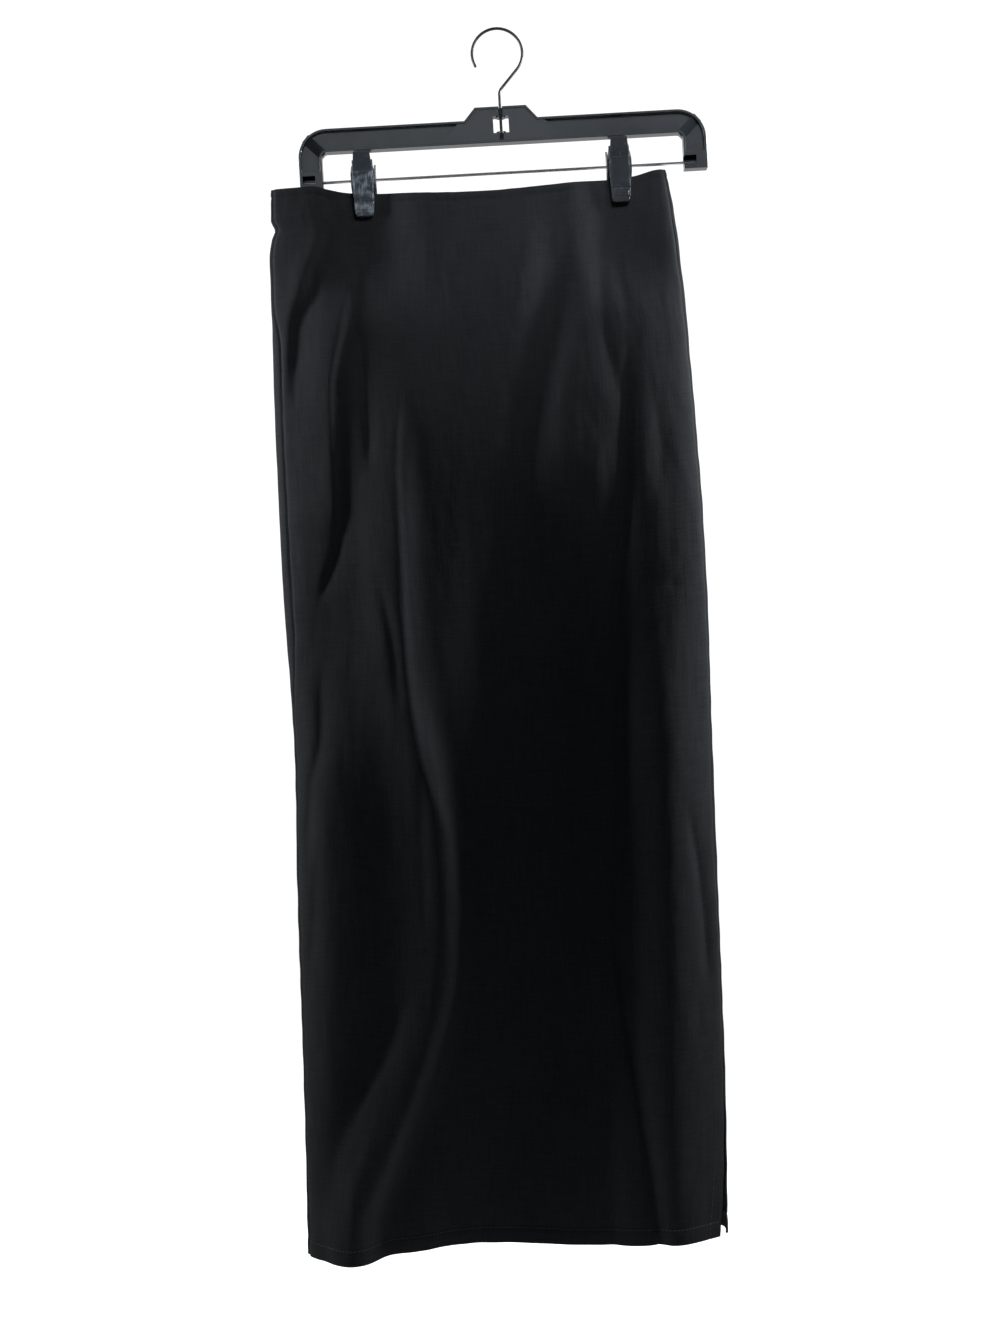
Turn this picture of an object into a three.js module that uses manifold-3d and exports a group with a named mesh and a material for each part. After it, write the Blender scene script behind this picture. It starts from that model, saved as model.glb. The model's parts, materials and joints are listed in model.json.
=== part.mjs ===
// A pull-on maxi skirt clipped to its skirt hanger.
//
// Millimetres, +Z up, +X to the right seen from the front, and the front of the skirt faces -Y.
// The origin is the inside of the hook at its top, where a rail carries the hanger. A "drop" is a
// distance down from the origin, so z = -drop.

import * as THREE from 'three';
import { mergeVertices } from 'three/addons/utils/BufferGeometryUtils.js';
import Module from 'manifold-3d';

const wasm = await Module();
wasm.setup();

// ---------------------------------------------------------------- driving dimensions

const CLEARANCE = 0.3; // air left between two pieces that touch on the real thing

const HOOK = { wire: 2.5, radius: 22, shankFoot: 96.4, bendDrop: 50.6, bendReach: 3.2, legAngle: 48, tipAngle: 207, steps: 26 };

const HANGER = {
  halfWidth: 178,
  beamTop: 79.5,
  beamBottom: 99.8,
  legWidth: 20.3,
  legBottom: 131.6,
  outerRadius: 25,
  innerRadius: 4.7,
  thickness: 9,
  web: 3,
  rim: 2.2,
  humpTop: 68.3,
  humpTopHalf: 22.4,
  humpBaseHalf: 32,
  windowHalf: 6.8,
  windowTop: 76.5,
  windowBottom: 91.2,
  collar: 9,
};

// The end boss of each leg has a pocket, open to the front, that takes the end of the bar.
const BOSS = { top: 117.8, pocketTop: 120, pocketBottom: 127, pocketBack: 2 };
const POCKETS = [
  { from: -175.4, to: -164.4 },
  { from: 156, to: 168.4 },
];

const BAR = { drop: 125.3, diameter: 2.6, from: -175, to: 168 };

const CLIP = {
  top: 22.4,
  bottom: 32.4,
  topHalf: 7.2,
  barHalf: 9,
  bottomHalf: 8,
  plate: 2.2,
  gripDepth: 12.4,
  barDepth: 8.6,
  jawDepth: 6.4,
  jawTop: 21,
  cheek: 1.6,
  cheekUp: 11,
  cheekDown: 5.4,
  cheekReach: 3.4,
  cornerRadius: 3,
  boreClearance: 0.35,
};
const SPRING = { outer: 6.6, length: 9.6 };
const CLIP_PLACES = [
  { name: 'clip_left', x: -122.7 },
  { name: 'clip_right', x: 101 },
];

const CLOTH = {
  wall: 1.7,
  innerGap: 0.4,
  hemDrop: 1053,
  blunt: 3,
  columns: 34,
  rows: 22,
  topRow: 9,
};

// The closed loop of the skirt at each drop: its side edges, how far each side edge stands forward,
// and how far the front and the back stand out from the line between the side edges.
const SECTIONS = [
  { drop: 128, left: -204, right: 141, leftForward: 0, rightForward: 0, front: 10, back: 10 },
  { drop: 156, left: -205.5, right: 145.5, leftForward: 0, rightForward: 0, front: 11.3, back: 10.7 },
  { drop: 165, left: -202, right: 146.3, leftForward: 0, rightForward: 0, front: 11.9, back: 11 },
  { drop: 173, left: -205.5, right: 147, leftForward: 0, rightForward: 0, front: 12.5, back: 11.3 },
  { drop: 186, left: -208, right: 148.2, leftForward: 0, rightForward: 0, front: 13.6, back: 11.9 },
  { drop: 260, left: -210, right: 152.5, leftForward: 1, rightForward: 1, front: 20, back: 15 },
  { drop: 360, left: -212, right: 155.5, leftForward: 3, rightForward: 2, front: 27, back: 19 },
  { drop: 460, left: -212, right: 157, leftForward: 4, rightForward: 3, front: 30, back: 22 },
  { drop: 610, left: -210, right: 154.5, leftForward: 6, rightForward: 4, front: 30, back: 24 },
  { drop: 720, left: -213.5, right: 152, leftForward: 7, rightForward: 6, front: 29, back: 25 },
  { drop: 860, left: -216.5, right: 149.5, leftForward: 8, rightForward: 9, front: 28, back: 26 },
  { drop: 960, left: -219, right: 146.5, leftForward: 9, rightForward: 12, front: 28, back: 27 },
  { drop: 1060, left: -222, right: 142.5, leftForward: 10, rightForward: 14, front: 28, back: 28 },
];

// The waist's top edge dips between the clips.
const WAIST_EDGE = [
  { x: -206, drop: 129.5 },
  { x: -182, drop: 130 },
  { x: -168, drop: 129.8 },
  { x: -154, drop: 133 },
  { x: -140, drop: 135.6 },
  { x: -109, drop: 138.2 },
  { x: -70, drop: 141.6 },
  { x: -17, drop: 143 },
  { x: 36, drop: 140.8 },
  { x: 75, drop: 138 },
  { x: 112, drop: 135 },
  { x: 133, drop: 131 },
  { x: 145, drop: 130.4 },
];

// Where the side seams lie: the distance in from each side edge, on the front. Below the slit's top
// the two panels' edges part, and the back panel's edge stays further out than the front's.
const SEAMS = [
  { drop: 128, left: 2, rightFront: 2, rightBack: 2 },
  { drop: 230, left: 3, rightFront: 2, rightBack: 2 },
  { drop: 270, left: 8.5, rightFront: 2, rightBack: 2 },
  { drop: 510, left: 8.5, rightFront: 2, rightBack: 2 },
  { drop: 600, left: 2.5, rightFront: 2, rightBack: 2 },
  { drop: 875, left: 2, rightFront: 2, rightBack: 2 },
  { drop: 980, left: 2, rightFront: 3.6, rightBack: 2 },
  { drop: 1060, left: 2, rightFront: 9.5, rightBack: 2.2 },
];

// The jaws pinch the front and the back together, and the pinch dies out below them.
const PINCH = { flatHalf: 10.5, halfWidth: 21, sharpness: 6, heldTo: 172, freeAt: 260 };

// The largest folds: how far each stands out of its panel (less than 0 for a trough), how wide it
// is to each side of its line, and the line it follows, in drops and places along X.
const FRONT_FOLDS = [
  { name: 'left_fullness', out: 9, leftWidth: 30, rightWidth: 46, line: [[560, -178], [760, -184], [1060, -196]] },
  { name: 'middle_hollow', out: -26, leftWidth: 56, rightWidth: 74, line: [[420, 6], [700, -4], [860, -22], [960, -48], [1060, -72]] },
  { name: 'right_fullness', out: 9, leftWidth: 34, rightWidth: 30, line: [[520, 112], [800, 104], [1060, 92]] },
  { name: 'long_ridge', out: 10, leftWidth: 34, rightWidth: 14, line: [[330, -104], [540, -108], [700, -84], [800, -86], [900, -116], [1015, -170]] },
  { name: 'left_clip_ridge', out: 3.5, leftWidth: 26, rightWidth: 14, line: [[176, -132], [272, -153], [400, -162], [500, -186]] },
  { name: 'left_clip_trough', out: -3, leftWidth: 14, rightWidth: 26, line: [[172, -117], [274, -134], [404, -142], [480, -162]] },
  { name: 'right_clip_trough', out: -7, leftWidth: 24, rightWidth: 17, line: [[176, 52], [266, 31], [366, 7], [440, -2]] },
  { name: 'right_long_crease', out: -4, leftWidth: 15, rightWidth: 15, line: [[300, 96], [450, 84], [705, 66], [880, 66], [1040, 79]] },
];
const BACK_FOLDS = [
  { name: 'back_left_clip_ridge', out: 5, leftWidth: 18, rightWidth: 26, line: [[180, -108], [280, -84], [420, -72], [560, -66]] },
  { name: 'back_left_clip_trough', out: -5, leftWidth: 22, rightWidth: 15, line: [[178, -134], [300, -150], [430, -158]] },
  { name: 'back_right_clip_trough', out: -5.5, leftWidth: 16, rightWidth: 22, line: [[176, 104], [290, 118], [410, 124]] },
  { name: 'back_middle_ridge', out: 7, leftWidth: 40, rightWidth: 30, line: [[360, 10], [600, 22], [830, 12], [1060, -12]] },
  { name: 'back_left_trough', out: -8, leftWidth: 34, rightWidth: 26, line: [[520, -96], [760, -104], [1060, -122]] },
  { name: 'back_right_trough', out: -7, leftWidth: 24, rightWidth: 32, line: [[470, 74], [720, 82], [1060, 70]] },
];
const FOLD_FADE = 110; // a fold grows from nothing over this length at an end that is off the hem

// ---------------------------------------------------------------- materials

const finishes = {
  cloth: new THREE.MeshStandardMaterial({ color: '#1b1c20', roughness: 0.85, metalness: 0 }),
  clothBack: new THREE.MeshStandardMaterial({ color: '#18191d', roughness: 0.85, metalness: 0 }),
  hanger: new THREE.MeshStandardMaterial({ color: '#3d4145', roughness: 0.3, metalness: 0 }),
  clip: new THREE.MeshStandardMaterial({ color: '#454a50', roughness: 0.35, metalness: 0 }),
  blackWire: new THREE.MeshStandardMaterial({ color: '#1d1e20', roughness: 0.4, metalness: 0.6 }),
  zinc: new THREE.MeshStandardMaterial({ color: '#b9bcbc', roughness: 0.3, metalness: 1 }),
};

// ---------------------------------------------------------------- helpers

const smoothstep = (from, to, value) => {
  const t = Math.min(Math.max((value - from) / (to - from), 0), 1);
  return t * t * (3 - 2 * t);
};

// A smooth curve through a table's column, with no overshoot, and flat beyond its ends.
function tableValue(rows, key, column, at) {
  const last = rows.length - 1;
  if (at <= rows[0][key]) return rows[0][column];
  if (at >= rows[last][key]) return rows[last][column];
  let i = 0;
  while (rows[i + 1][key] < at) i += 1;
  const rise = (j) => (rows[j + 1][column] - rows[j][column]) / (rows[j + 1][key] - rows[j][key]);
  const slope = (j) => {
    if (j === 0 || j === last) return rise(Math.min(j, last - 1));
    const [before, after] = [rise(j - 1), rise(j)];
    return before * after > 0 ? (2 * before * after) / (before + after) : 0;
  };
  const span = rows[i + 1][key] - rows[i][key];
  const t = (at - rows[i][key]) / span;
  const startWeight = 2 * t ** 3 - 3 * t ** 2 + 1;
  const endWeight = -2 * t ** 3 + 3 * t ** 2;
  return startWeight * rows[i][column] + endWeight * rows[i + 1][column]
    + (t ** 3 - 2 * t ** 2 + t) * span * slope(i) + (t ** 3 - t ** 2) * span * slope(i + 1);
}

function toSolid(geometry, matrix = new THREE.Matrix4()) {
  const bare = geometry.clone().applyMatrix4(matrix);
  bare.deleteAttribute('normal');
  bare.deleteAttribute('uv');
  const merged = mergeVertices(bare, 1e-4);
  const vertProperties = new Float32Array(merged.attributes.position.array);
  const triVerts = new Uint32Array(merged.index.array);
  return new wasm.Manifold(new wasm.Mesh({ numProp: 3, vertProperties, triVerts }));
}

function toGeometry(solid) {
  const { vertProperties, triVerts } = solid.getMesh();
  const geometry = new THREE.BufferGeometry();
  geometry.setAttribute('position', new THREE.BufferAttribute(vertProperties, 3));
  geometry.setIndex(new THREE.BufferAttribute(triVerts, 1));
  geometry.computeVertexNormals();
  return geometry;
}

function boxSolid(x, y, z) {
  const geometry = new THREE.BoxGeometry(x[1] - x[0], y[1] - y[0], z[1] - z[0]);
  const middle = (span) => (span[0] + span[1]) / 2;
  return toSolid(geometry, new THREE.Matrix4().makeTranslation(middle(x), middle(y), middle(z)));
}

function cylinderAlongX(radius, from, to, y, z, sides) {
  const matrix = new THREE.Matrix4().makeTranslation((from + to) / 2, y, z);
  matrix.multiply(new THREE.Matrix4().makeRotationZ(Math.PI / 2));
  return toSolid(new THREE.CylinderGeometry(radius, radius, to - from, sides), matrix);
}

function cylinderAlongZ(radius, from, to, sides) {
  const matrix = new THREE.Matrix4().makeTranslation(0, 0, (from + to) / 2);
  matrix.multiply(new THREE.Matrix4().makeRotationX(Math.PI / 2));
  return toSolid(new THREE.CylinderGeometry(radius, radius, to - from, sides), matrix);
}

// A shape drawn in X and Z, made solid from one Y to another.
function slab(shape, yFrom, yTo, curveSegments = 8) {
  const options = { depth: yTo - yFrom, bevelEnabled: false, curveSegments };
  const matrix = new THREE.Matrix4().makeTranslation(0, yTo, 0);
  matrix.multiply(new THREE.Matrix4().makeRotationX(Math.PI / 2));
  return toSolid(new THREE.ExtrudeGeometry(shape, options), matrix);
}

function mesh(name, geometry, material) {
  const piece = new THREE.Mesh(geometry, material);
  piece.name = name;
  return piece;
}

// ---------------------------------------------------------------- the skirt

const sectionAt = (drop, column) => tableValue(SECTIONS, 'drop', column, drop);

function pinchAt(x, drop) {
  const held = 1 - smoothstep(PINCH.heldTo, PINCH.freeAt, drop);
  const spread = PINCH.halfWidth * (1.5 - 0.5 * held);
  return held * Math.max(...CLIP_PLACES.map((clip) => Math.exp(-(((x - clip.x) / spread) ** PINCH.sharpness))));
}

function foldAt(fold, x, drop) {
  const rows = fold.line.map(([lineDrop, lineX]) => ({ drop: lineDrop, x: lineX }));
  const start = rows[0].drop;
  const end = rows[rows.length - 1].drop;
  const grows = smoothstep(start - FOLD_FADE / 2, start + FOLD_FADE, drop);
  const dies = end < CLOTH.hemDrop - FOLD_FADE ? 1 - smoothstep(end - FOLD_FADE, end + FOLD_FADE / 2, drop) : 1;
  const away = x - tableValue(rows, 'drop', 'x', drop);
  const width = away < 0 ? fold.leftWidth : fold.rightWidth;
  return fold.out * grows * dies * Math.exp(-((away / width) ** 2));
}

// A point of the loop at a drop. The angle is 0 at the right side edge, a quarter turn at the middle
// of the front, a half turn at the left side edge, and less than 0 on the back.
function loopPoint(angle, drop, inset) {
  const left = sectionAt(drop, 'left') + inset;
  const right = sectionAt(drop, 'right') - inset;
  const across = Math.cos(angle);
  const x = (left + right) / 2 + ((right - left) / 2) * across;
  const isFront = Math.sin(angle) >= 0;
  const side = isFront ? -1 : 1;
  const blend = (across + 1) / 2;
  const chord = -sectionAt(drop, 'leftForward') * (1 - blend) - sectionAt(drop, 'rightForward') * blend;
  const round = Math.max(1 - Math.abs(across) ** CLOTH.blunt, 0) ** (1 / CLOTH.blunt);
  const open = 1 - pinchAt(x, drop);
  const least = CLOTH.innerGap + CLOTH.wall;
  const full = sectionAt(drop, isFront ? 'front' : 'back');
  const folds = isFront ? FRONT_FOLDS : BACK_FOLDS;
  const folded = folds.reduce((sum, fold) => sum + foldAt(fold, x, drop), 0);
  const awayFromEdge = smoothstep(0.15, 0.75, round);
  const depth = (least + (full - least) * open - inset) * round + folded * open * awayFromEdge;
  return new THREE.Vector3(x, chord + side * depth, -drop);
}

const edgeAngle = (drop, distance) => {
  const half = (sectionAt(drop, 'right') - sectionAt(drop, 'left')) / 2;
  return Math.acos(1 - distance / half);
};

// The angles between which a panel runs at a drop, half a seam's gap inside its seams.
function panelSpan(isFront, drop) {
  const rightIn = tableValue(SEAMS, 'drop', isFront ? 'rightFront' : 'rightBack', drop);
  const rightSeam = edgeAngle(drop, rightIn);
  const leftSeam = Math.PI - edgeAngle(drop, tableValue(SEAMS, 'drop', 'left', drop));
  const halfGap = (angle) => {
    const step = 1e-3;
    const travel = loopPoint(angle + step, drop, CLOTH.wall).distanceTo(loopPoint(angle, drop, CLOTH.wall));
    return (0.6 * CLEARANCE * step) / travel;
  };
  return isFront
    ? { from: rightSeam + halfGap(rightSeam), to: leftSeam - halfGap(leftSeam) }
    : { from: rightSeam - halfGap(rightSeam), to: leftSeam + halfGap(leftSeam) - 2 * Math.PI };
}

// Rows lie close together at the waist and spread down the skirt.
function rowFraction(row) {
  const t = row / CLOTH.rows;
  const first = CLOTH.topRow / (CLOTH.hemDrop - SECTIONS[0].drop);
  const even = CLOTH.rows * first;
  return even * t + (1 - even) * t ** 1.7;
}

// Columns are spread evenly by angle, but the nearest ones move to the edges of the clips' jaws, so
// that the cloth lies flat between them.
function columnFractions(isFront) {
  const drop = BAR.drop + CLIP.jawTop;
  const span = panelSpan(isFront, drop);
  const fractions = Array.from({ length: CLOTH.columns + 1 }, (_, column) => column / CLOTH.columns);
  const middle = (sectionAt(drop, 'left') + sectionAt(drop, 'right')) / 2;
  const half = (sectionAt(drop, 'right') - sectionAt(drop, 'left')) / 2;
  for (const clip of CLIP_PLACES) {
    for (const hand of [-1, 1]) {
      const angle = Math.acos((clip.x + hand * PINCH.flatHalf - middle) / half) * (isFront ? 1 : -1);
      const fraction = (angle - span.from) / (span.to - span.from);
      fractions[Math.round(fraction * CLOTH.columns)] = fraction;
    }
  }
  return fractions;
}

function clothPoint(isFront, columnFraction, row, inset) {
  const fraction = rowFraction(row);
  const guess = SECTIONS[0].drop + fraction * (CLOTH.hemDrop - SECTIONS[0].drop);
  const span = panelSpan(isFront, guess);
  const angle = span.from + (span.to - span.from) * columnFraction;
  const along = loopPoint(angle, guess, inset);
  const edge = tableValue(WAIST_EDGE, 'x', 'drop', along.x);
  const drop = edge + fraction * (CLOTH.hemDrop - edge);
  return loopPoint(angle, drop, inset);
}

// A panel is one wall: a grid of points outside, the same grid one wall further in, and a rim.
function panel(isFront) {
  const across = CLOTH.columns + 1;
  const down = CLOTH.rows + 1;
  const columns = columnFractions(isFront);
  const positions = [];
  for (const inset of [0, CLOTH.wall]) {
    for (let row = 0; row < down; row += 1) {
      for (const column of columns) positions.push(...clothPoint(isFront, column, row, inset).toArray());
    }
  }
  const layer = across * down;
  const triangles = [];
  const quad = (a, b, c, d) => triangles.push(...(isFront ? [a, b, c, a, c, d] : [a, c, b, a, d, c]));
  const at = (column, row, inner) => inner * layer + row * across + column;
  for (let row = 0; row < CLOTH.rows; row += 1) {
    for (let column = 0; column < CLOTH.columns; column += 1) {
      quad(at(column, row, 0), at(column + 1, row, 0), at(column + 1, row + 1, 0), at(column, row + 1, 0));
      quad(at(column, row, 1), at(column, row + 1, 1), at(column + 1, row + 1, 1), at(column + 1, row, 1));
    }
  }
  for (let column = 0; column < CLOTH.columns; column += 1) {
    quad(at(column, 0, 0), at(column, 0, 1), at(column + 1, 0, 1), at(column + 1, 0, 0));
    const low = CLOTH.rows;
    quad(at(column, low, 0), at(column + 1, low, 0), at(column + 1, low, 1), at(column, low, 1));
  }
  for (let row = 0; row < CLOTH.rows; row += 1) {
    quad(at(0, row, 0), at(0, row + 1, 0), at(0, row + 1, 1), at(0, row, 1));
    const end = CLOTH.columns;
    quad(at(end, row, 0), at(end, row, 1), at(end, row + 1, 1), at(end, row + 1, 0));
  }
  const geometry = new THREE.BufferGeometry();
  geometry.setAttribute('position', new THREE.Float32BufferAttribute(positions, 3));
  geometry.setIndex(triangles);
  geometry.computeVertexNormals();
  return geometry;
}

// ---------------------------------------------------------------- the hanger

function hangerOutline() {
  const { halfWidth, outerRadius, innerRadius, legWidth } = HANGER;
  const top = -HANGER.beamTop;
  const bottom = -HANGER.beamBottom;
  const foot = -HANGER.legBottom;
  const inner = halfWidth - legWidth;
  const shape = new THREE.Shape();
  shape.moveTo(-halfWidth, foot);
  shape.lineTo(-halfWidth, top - outerRadius);
  shape.absarc(-halfWidth + outerRadius, top - outerRadius, outerRadius, Math.PI, Math.PI / 2, true);
  shape.lineTo(-HANGER.humpBaseHalf, top);
  shape.lineTo(-HANGER.humpTopHalf, -HANGER.humpTop);
  shape.lineTo(HANGER.humpTopHalf, -HANGER.humpTop);
  shape.lineTo(HANGER.humpBaseHalf, top);
  shape.lineTo(halfWidth - outerRadius, top);
  shape.absarc(halfWidth - outerRadius, top - outerRadius, outerRadius, Math.PI / 2, 0, true);
  shape.lineTo(halfWidth, foot);
  shape.lineTo(inner, foot);
  shape.lineTo(inner, bottom - innerRadius);
  shape.absarc(inner - innerRadius, bottom - innerRadius, innerRadius, 0, Math.PI / 2, false);
  shape.lineTo(-inner + innerRadius, bottom);
  shape.absarc(-inner + innerRadius, bottom - innerRadius, innerRadius, Math.PI / 2, Math.PI, false);
  shape.lineTo(-inner, foot);
  shape.closePath();
  return shape;
}

// The recess between the rims of one arm, from the hump round the corner to the end boss.
function armRecess(side) {
  const { halfWidth, outerRadius, innerRadius, legWidth, rim } = HANGER;
  const outer = side * (halfWidth - rim);
  const inner = side * (halfWidth - legWidth + rim);
  const top = -HANGER.beamTop - rim;
  const bottom = -HANGER.beamBottom + rim;
  const foot = -BOSS.top + rim;
  const start = side * (HANGER.humpBaseHalf + 2 * rim);
  const bigRadius = outerRadius - rim;
  const smallRadius = innerRadius + rim;
  const clockwise = side > 0;
  const sideAngle = side > 0 ? 0 : Math.PI;
  const shape = new THREE.Shape();
  shape.moveTo(start, top);
  shape.lineTo(outer - side * bigRadius, top);
  shape.absarc(outer - side * bigRadius, top - bigRadius, bigRadius, Math.PI / 2, sideAngle, clockwise);
  shape.lineTo(outer, foot);
  shape.lineTo(inner, foot);
  shape.lineTo(inner, bottom - smallRadius);
  shape.absarc(inner - side * smallRadius, bottom - smallRadius, smallRadius, sideAngle, Math.PI / 2, !clockwise);
  shape.lineTo(start, bottom);
  shape.closePath();
  return shape;
}

function hangerFrame() {
  const half = HANGER.thickness / 2;
  const skin = HANGER.web / 2;
  let body = slab(hangerOutline(), -half, half);
  for (const side of [-1, 1]) {
    const recess = armRecess(side);
    body = body.subtract(slab(recess, -half - 1, -skin)).subtract(slab(recess, skin, half + 1));
  }
  const { windowHalf, windowTop, windowBottom } = HANGER;
  body = body.subtract(boxSolid([-windowHalf, windowHalf], [-half - 1, half + 1], [-windowBottom, -windowTop]));
  const collarHalf = HANGER.collar / 2;
  body = body.add(cylinderAlongZ(collarHalf, -windowTop - 1, -HANGER.humpTop + 1.6, 16));
  body = body.add(cylinderAlongZ(collarHalf, -HANGER.beamBottom + 0.6, -windowBottom + 1, 16));
  const bore = HOOK.wire / 2 + CLEARANCE;
  body = body.subtract(cylinderAlongZ(bore, -HOOK.shankFoot - CLEARANCE, -HANGER.humpTop + 5, 12));
  for (const pocket of POCKETS) {
    const z = [-BOSS.pocketBottom, -BOSS.pocketTop];
    body = body.subtract(boxSolid([pocket.from, pocket.to], [-half - 1, BOSS.pocketBack], z));
  }
  const barBore = BAR.diameter / 2 + CLEARANCE;
  return body.subtract(cylinderAlongX(barBore, BAR.from - CLEARANCE, BAR.to + CLEARANCE, 0, -BAR.drop, 12));
}

function hookWire() {
  const centre = new THREE.Vector2(0, HOOK.wire / 2 - HOOK.radius);
  const shank = [HOOK.shankFoot, HANGER.windowTop, HANGER.humpTop, HOOK.bendDrop + 8, HOOK.bendDrop + 3];
  const points = shank.map((drop) => new THREE.Vector3(0, 0, -drop));
  points.push(new THREE.Vector3(HOOK.bendReach, 0, -HOOK.bendDrop + 2));
  const from = HOOK.legAngle - 90;
  for (let step = 0; step <= HOOK.steps; step += 1) {
    const angle = THREE.MathUtils.degToRad(from + ((HOOK.tipAngle - from) * step) / HOOK.steps);
    points.push(new THREE.Vector3(HOOK.radius * Math.cos(angle), 0, centre.y + HOOK.radius * Math.sin(angle)));
  }
  const path = new THREE.CatmullRomCurve3(points, false, 'centripetal');
  const section = new THREE.Shape().absarc(0, 0, HOOK.wire / 2, 0, 2 * Math.PI);
  const options = { extrudePath: path, steps: 48, bevelEnabled: false, curveSegments: 5 };
  return new THREE.ExtrudeGeometry(section, options);
}

// ---------------------------------------------------------------- the clips

// A lever seen from the side, with the bar's axis at its origin: the grip leans out above the bar,
// and the jaw's foot turns in below it.
function leverProfile() {
  const jawFace = CLOTH.innerGap + CLOTH.wall + CLEARANCE;
  const { top, bottom, plate, gripDepth, barDepth, jawDepth, jawTop } = CLIP;
  return [
    [gripDepth, top], [barDepth, 2], [jawDepth, -jawTop], [jawDepth - 0.6, -bottom],
    [jawFace, -bottom], [jawFace, -jawTop - 1.2], [jawDepth - plate, -jawTop + 1.6],
    [barDepth - plate, 0], [gripDepth - plate, top],
  ];
}

function leverFront() {
  const { top, bottom, topHalf, barHalf, bottomHalf, cornerRadius } = CLIP;
  const shape = new THREE.Shape();
  shape.moveTo(-topHalf + 1, top + 1);
  shape.lineTo(-topHalf, top - 1);
  shape.lineTo(-barHalf, 0);
  shape.lineTo(-bottomHalf, -bottom + cornerRadius);
  shape.absarc(-bottomHalf + cornerRadius, -bottom + cornerRadius, cornerRadius, Math.PI, 1.5 * Math.PI, false);
  shape.absarc(bottomHalf - cornerRadius, -bottom + cornerRadius, cornerRadius, 1.5 * Math.PI, 2 * Math.PI, false);
  shape.lineTo(barHalf, 0);
  shape.lineTo(topHalf, top - 1);
  shape.lineTo(topHalf - 1, top + 1);
  shape.closePath();
  return shape;
}

// side is -1 for the front lever and 1 for the back one, whose cheeks lie outside the front's.
function lever(side, x) {
  const profile = new THREE.Shape(leverProfile().map(([out, z]) => new THREE.Vector2(out, z)));
  const width = 2 * CLIP.barHalf;
  const options = { depth: width, bevelEnabled: false };
  const turn = new THREE.Matrix4().set(0, 0, side, (-side * width) / 2, side, 0, 0, 0, 0, 1, 0, 0, 0, 0, 0, 1);
  let body = toSolid(new THREE.ExtrudeGeometry(profile, options), turn);
  const outline = slab(leverFront(), -CLIP.gripDepth - 2, CLIP.gripDepth + 2, 4);
  body = body.intersect(outline);
  const inner = CLIP.barHalf - CLIP.cheek + (side > 0 ? CLIP.cheek + CLEARANCE : 0);
  const reach = [-CLIP.cheekReach, CLIP.barDepth - CLIP.plate / 2].map((out) => side * out).sort((a, b) => a - b);
  for (const hand of [-1, 1]) {
    const across = [hand * inner, hand * (inner + CLIP.cheek)].sort((a, b) => a - b);
    body = body.add(boxSolid(across, reach, [-CLIP.cheekDown, CLIP.cheekUp]));
    if (side > 0) {
      const lug = [hand * (CLIP.barHalf - 2), hand * (inner + CLIP.cheek)].sort((a, b) => a - b);
      const back = [CLIP.barDepth - CLIP.plate, CLIP.barDepth - CLIP.plate / 2 + 0.4];
      body = body.add(boxSolid(lug, back, [-CLIP.cheekDown, CLIP.cheekUp]));
    }
  }
  const boreRadius = BAR.diameter / 2 + CLIP.boreClearance;
  body = body.subtract(cylinderAlongX(boreRadius, -2 * width, 2 * width, 0, 0, 12));
  return toGeometry(body.translate([x, 0, -BAR.drop]));
}

function clipSpring(x) {
  const bore = BAR.diameter / 2 + CLIP.boreClearance;
  const ring = [[bore, 0], [SPRING.outer / 2, 0], [SPRING.outer / 2, SPRING.length], [bore, SPRING.length], [bore, 0]];
  const geometry = new THREE.LatheGeometry(ring.map(([r, z]) => new THREE.Vector2(r, z)), 14);
  geometry.rotateZ(-Math.PI / 2);
  geometry.translate(x - SPRING.length / 2, 0, -BAR.drop);
  return geometry;
}

// ---------------------------------------------------------------- the whole object

const skirtOnHanger = new THREE.Group();
skirtOnHanger.add(mesh('skirt_front', panel(true), finishes.cloth));
skirtOnHanger.add(mesh('skirt_back', panel(false), finishes.clothBack));
skirtOnHanger.add(mesh('hanger_frame', toGeometry(hangerFrame()), finishes.hanger));
skirtOnHanger.add(mesh('hook_wire', hookWire(), finishes.blackWire));
const bar = cylinderAlongX(BAR.diameter / 2, BAR.from, BAR.to, 0, -BAR.drop, 12);
skirtOnHanger.add(mesh('clip_bar', toGeometry(bar), finishes.zinc));
for (const clip of CLIP_PLACES) {
  skirtOnHanger.add(mesh(`${clip.name}_front`, lever(-1, clip.x), finishes.clip));
  skirtOnHanger.add(mesh(`${clip.name}_back`, lever(1, clip.x), finishes.clip));
  skirtOnHanger.add(mesh(`${clip.name}_spring`, clipSpring(clip.x), finishes.zinc));
}

export default skirtOnHanger;
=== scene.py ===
"""The looks of a pull-on maxi skirt that hangs from a moulded clip hanger.

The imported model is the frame: metres, +Z up, +X to the right seen from the front, the front of the
skirt facing -Y, and the origin at the inside of the hook's top. Sizes below are in millimetres
unless a name says otherwise, and a "drop" is a distance down from the origin.
"""

import json
import logging
import math
from collections.abc import Callable, Iterator, Sequence
from contextlib import contextmanager
from dataclasses import dataclass, field
from enum import Enum

import bmesh
import bpy
import numpy as np
from mathutils import Matrix, Vector, noise

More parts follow.
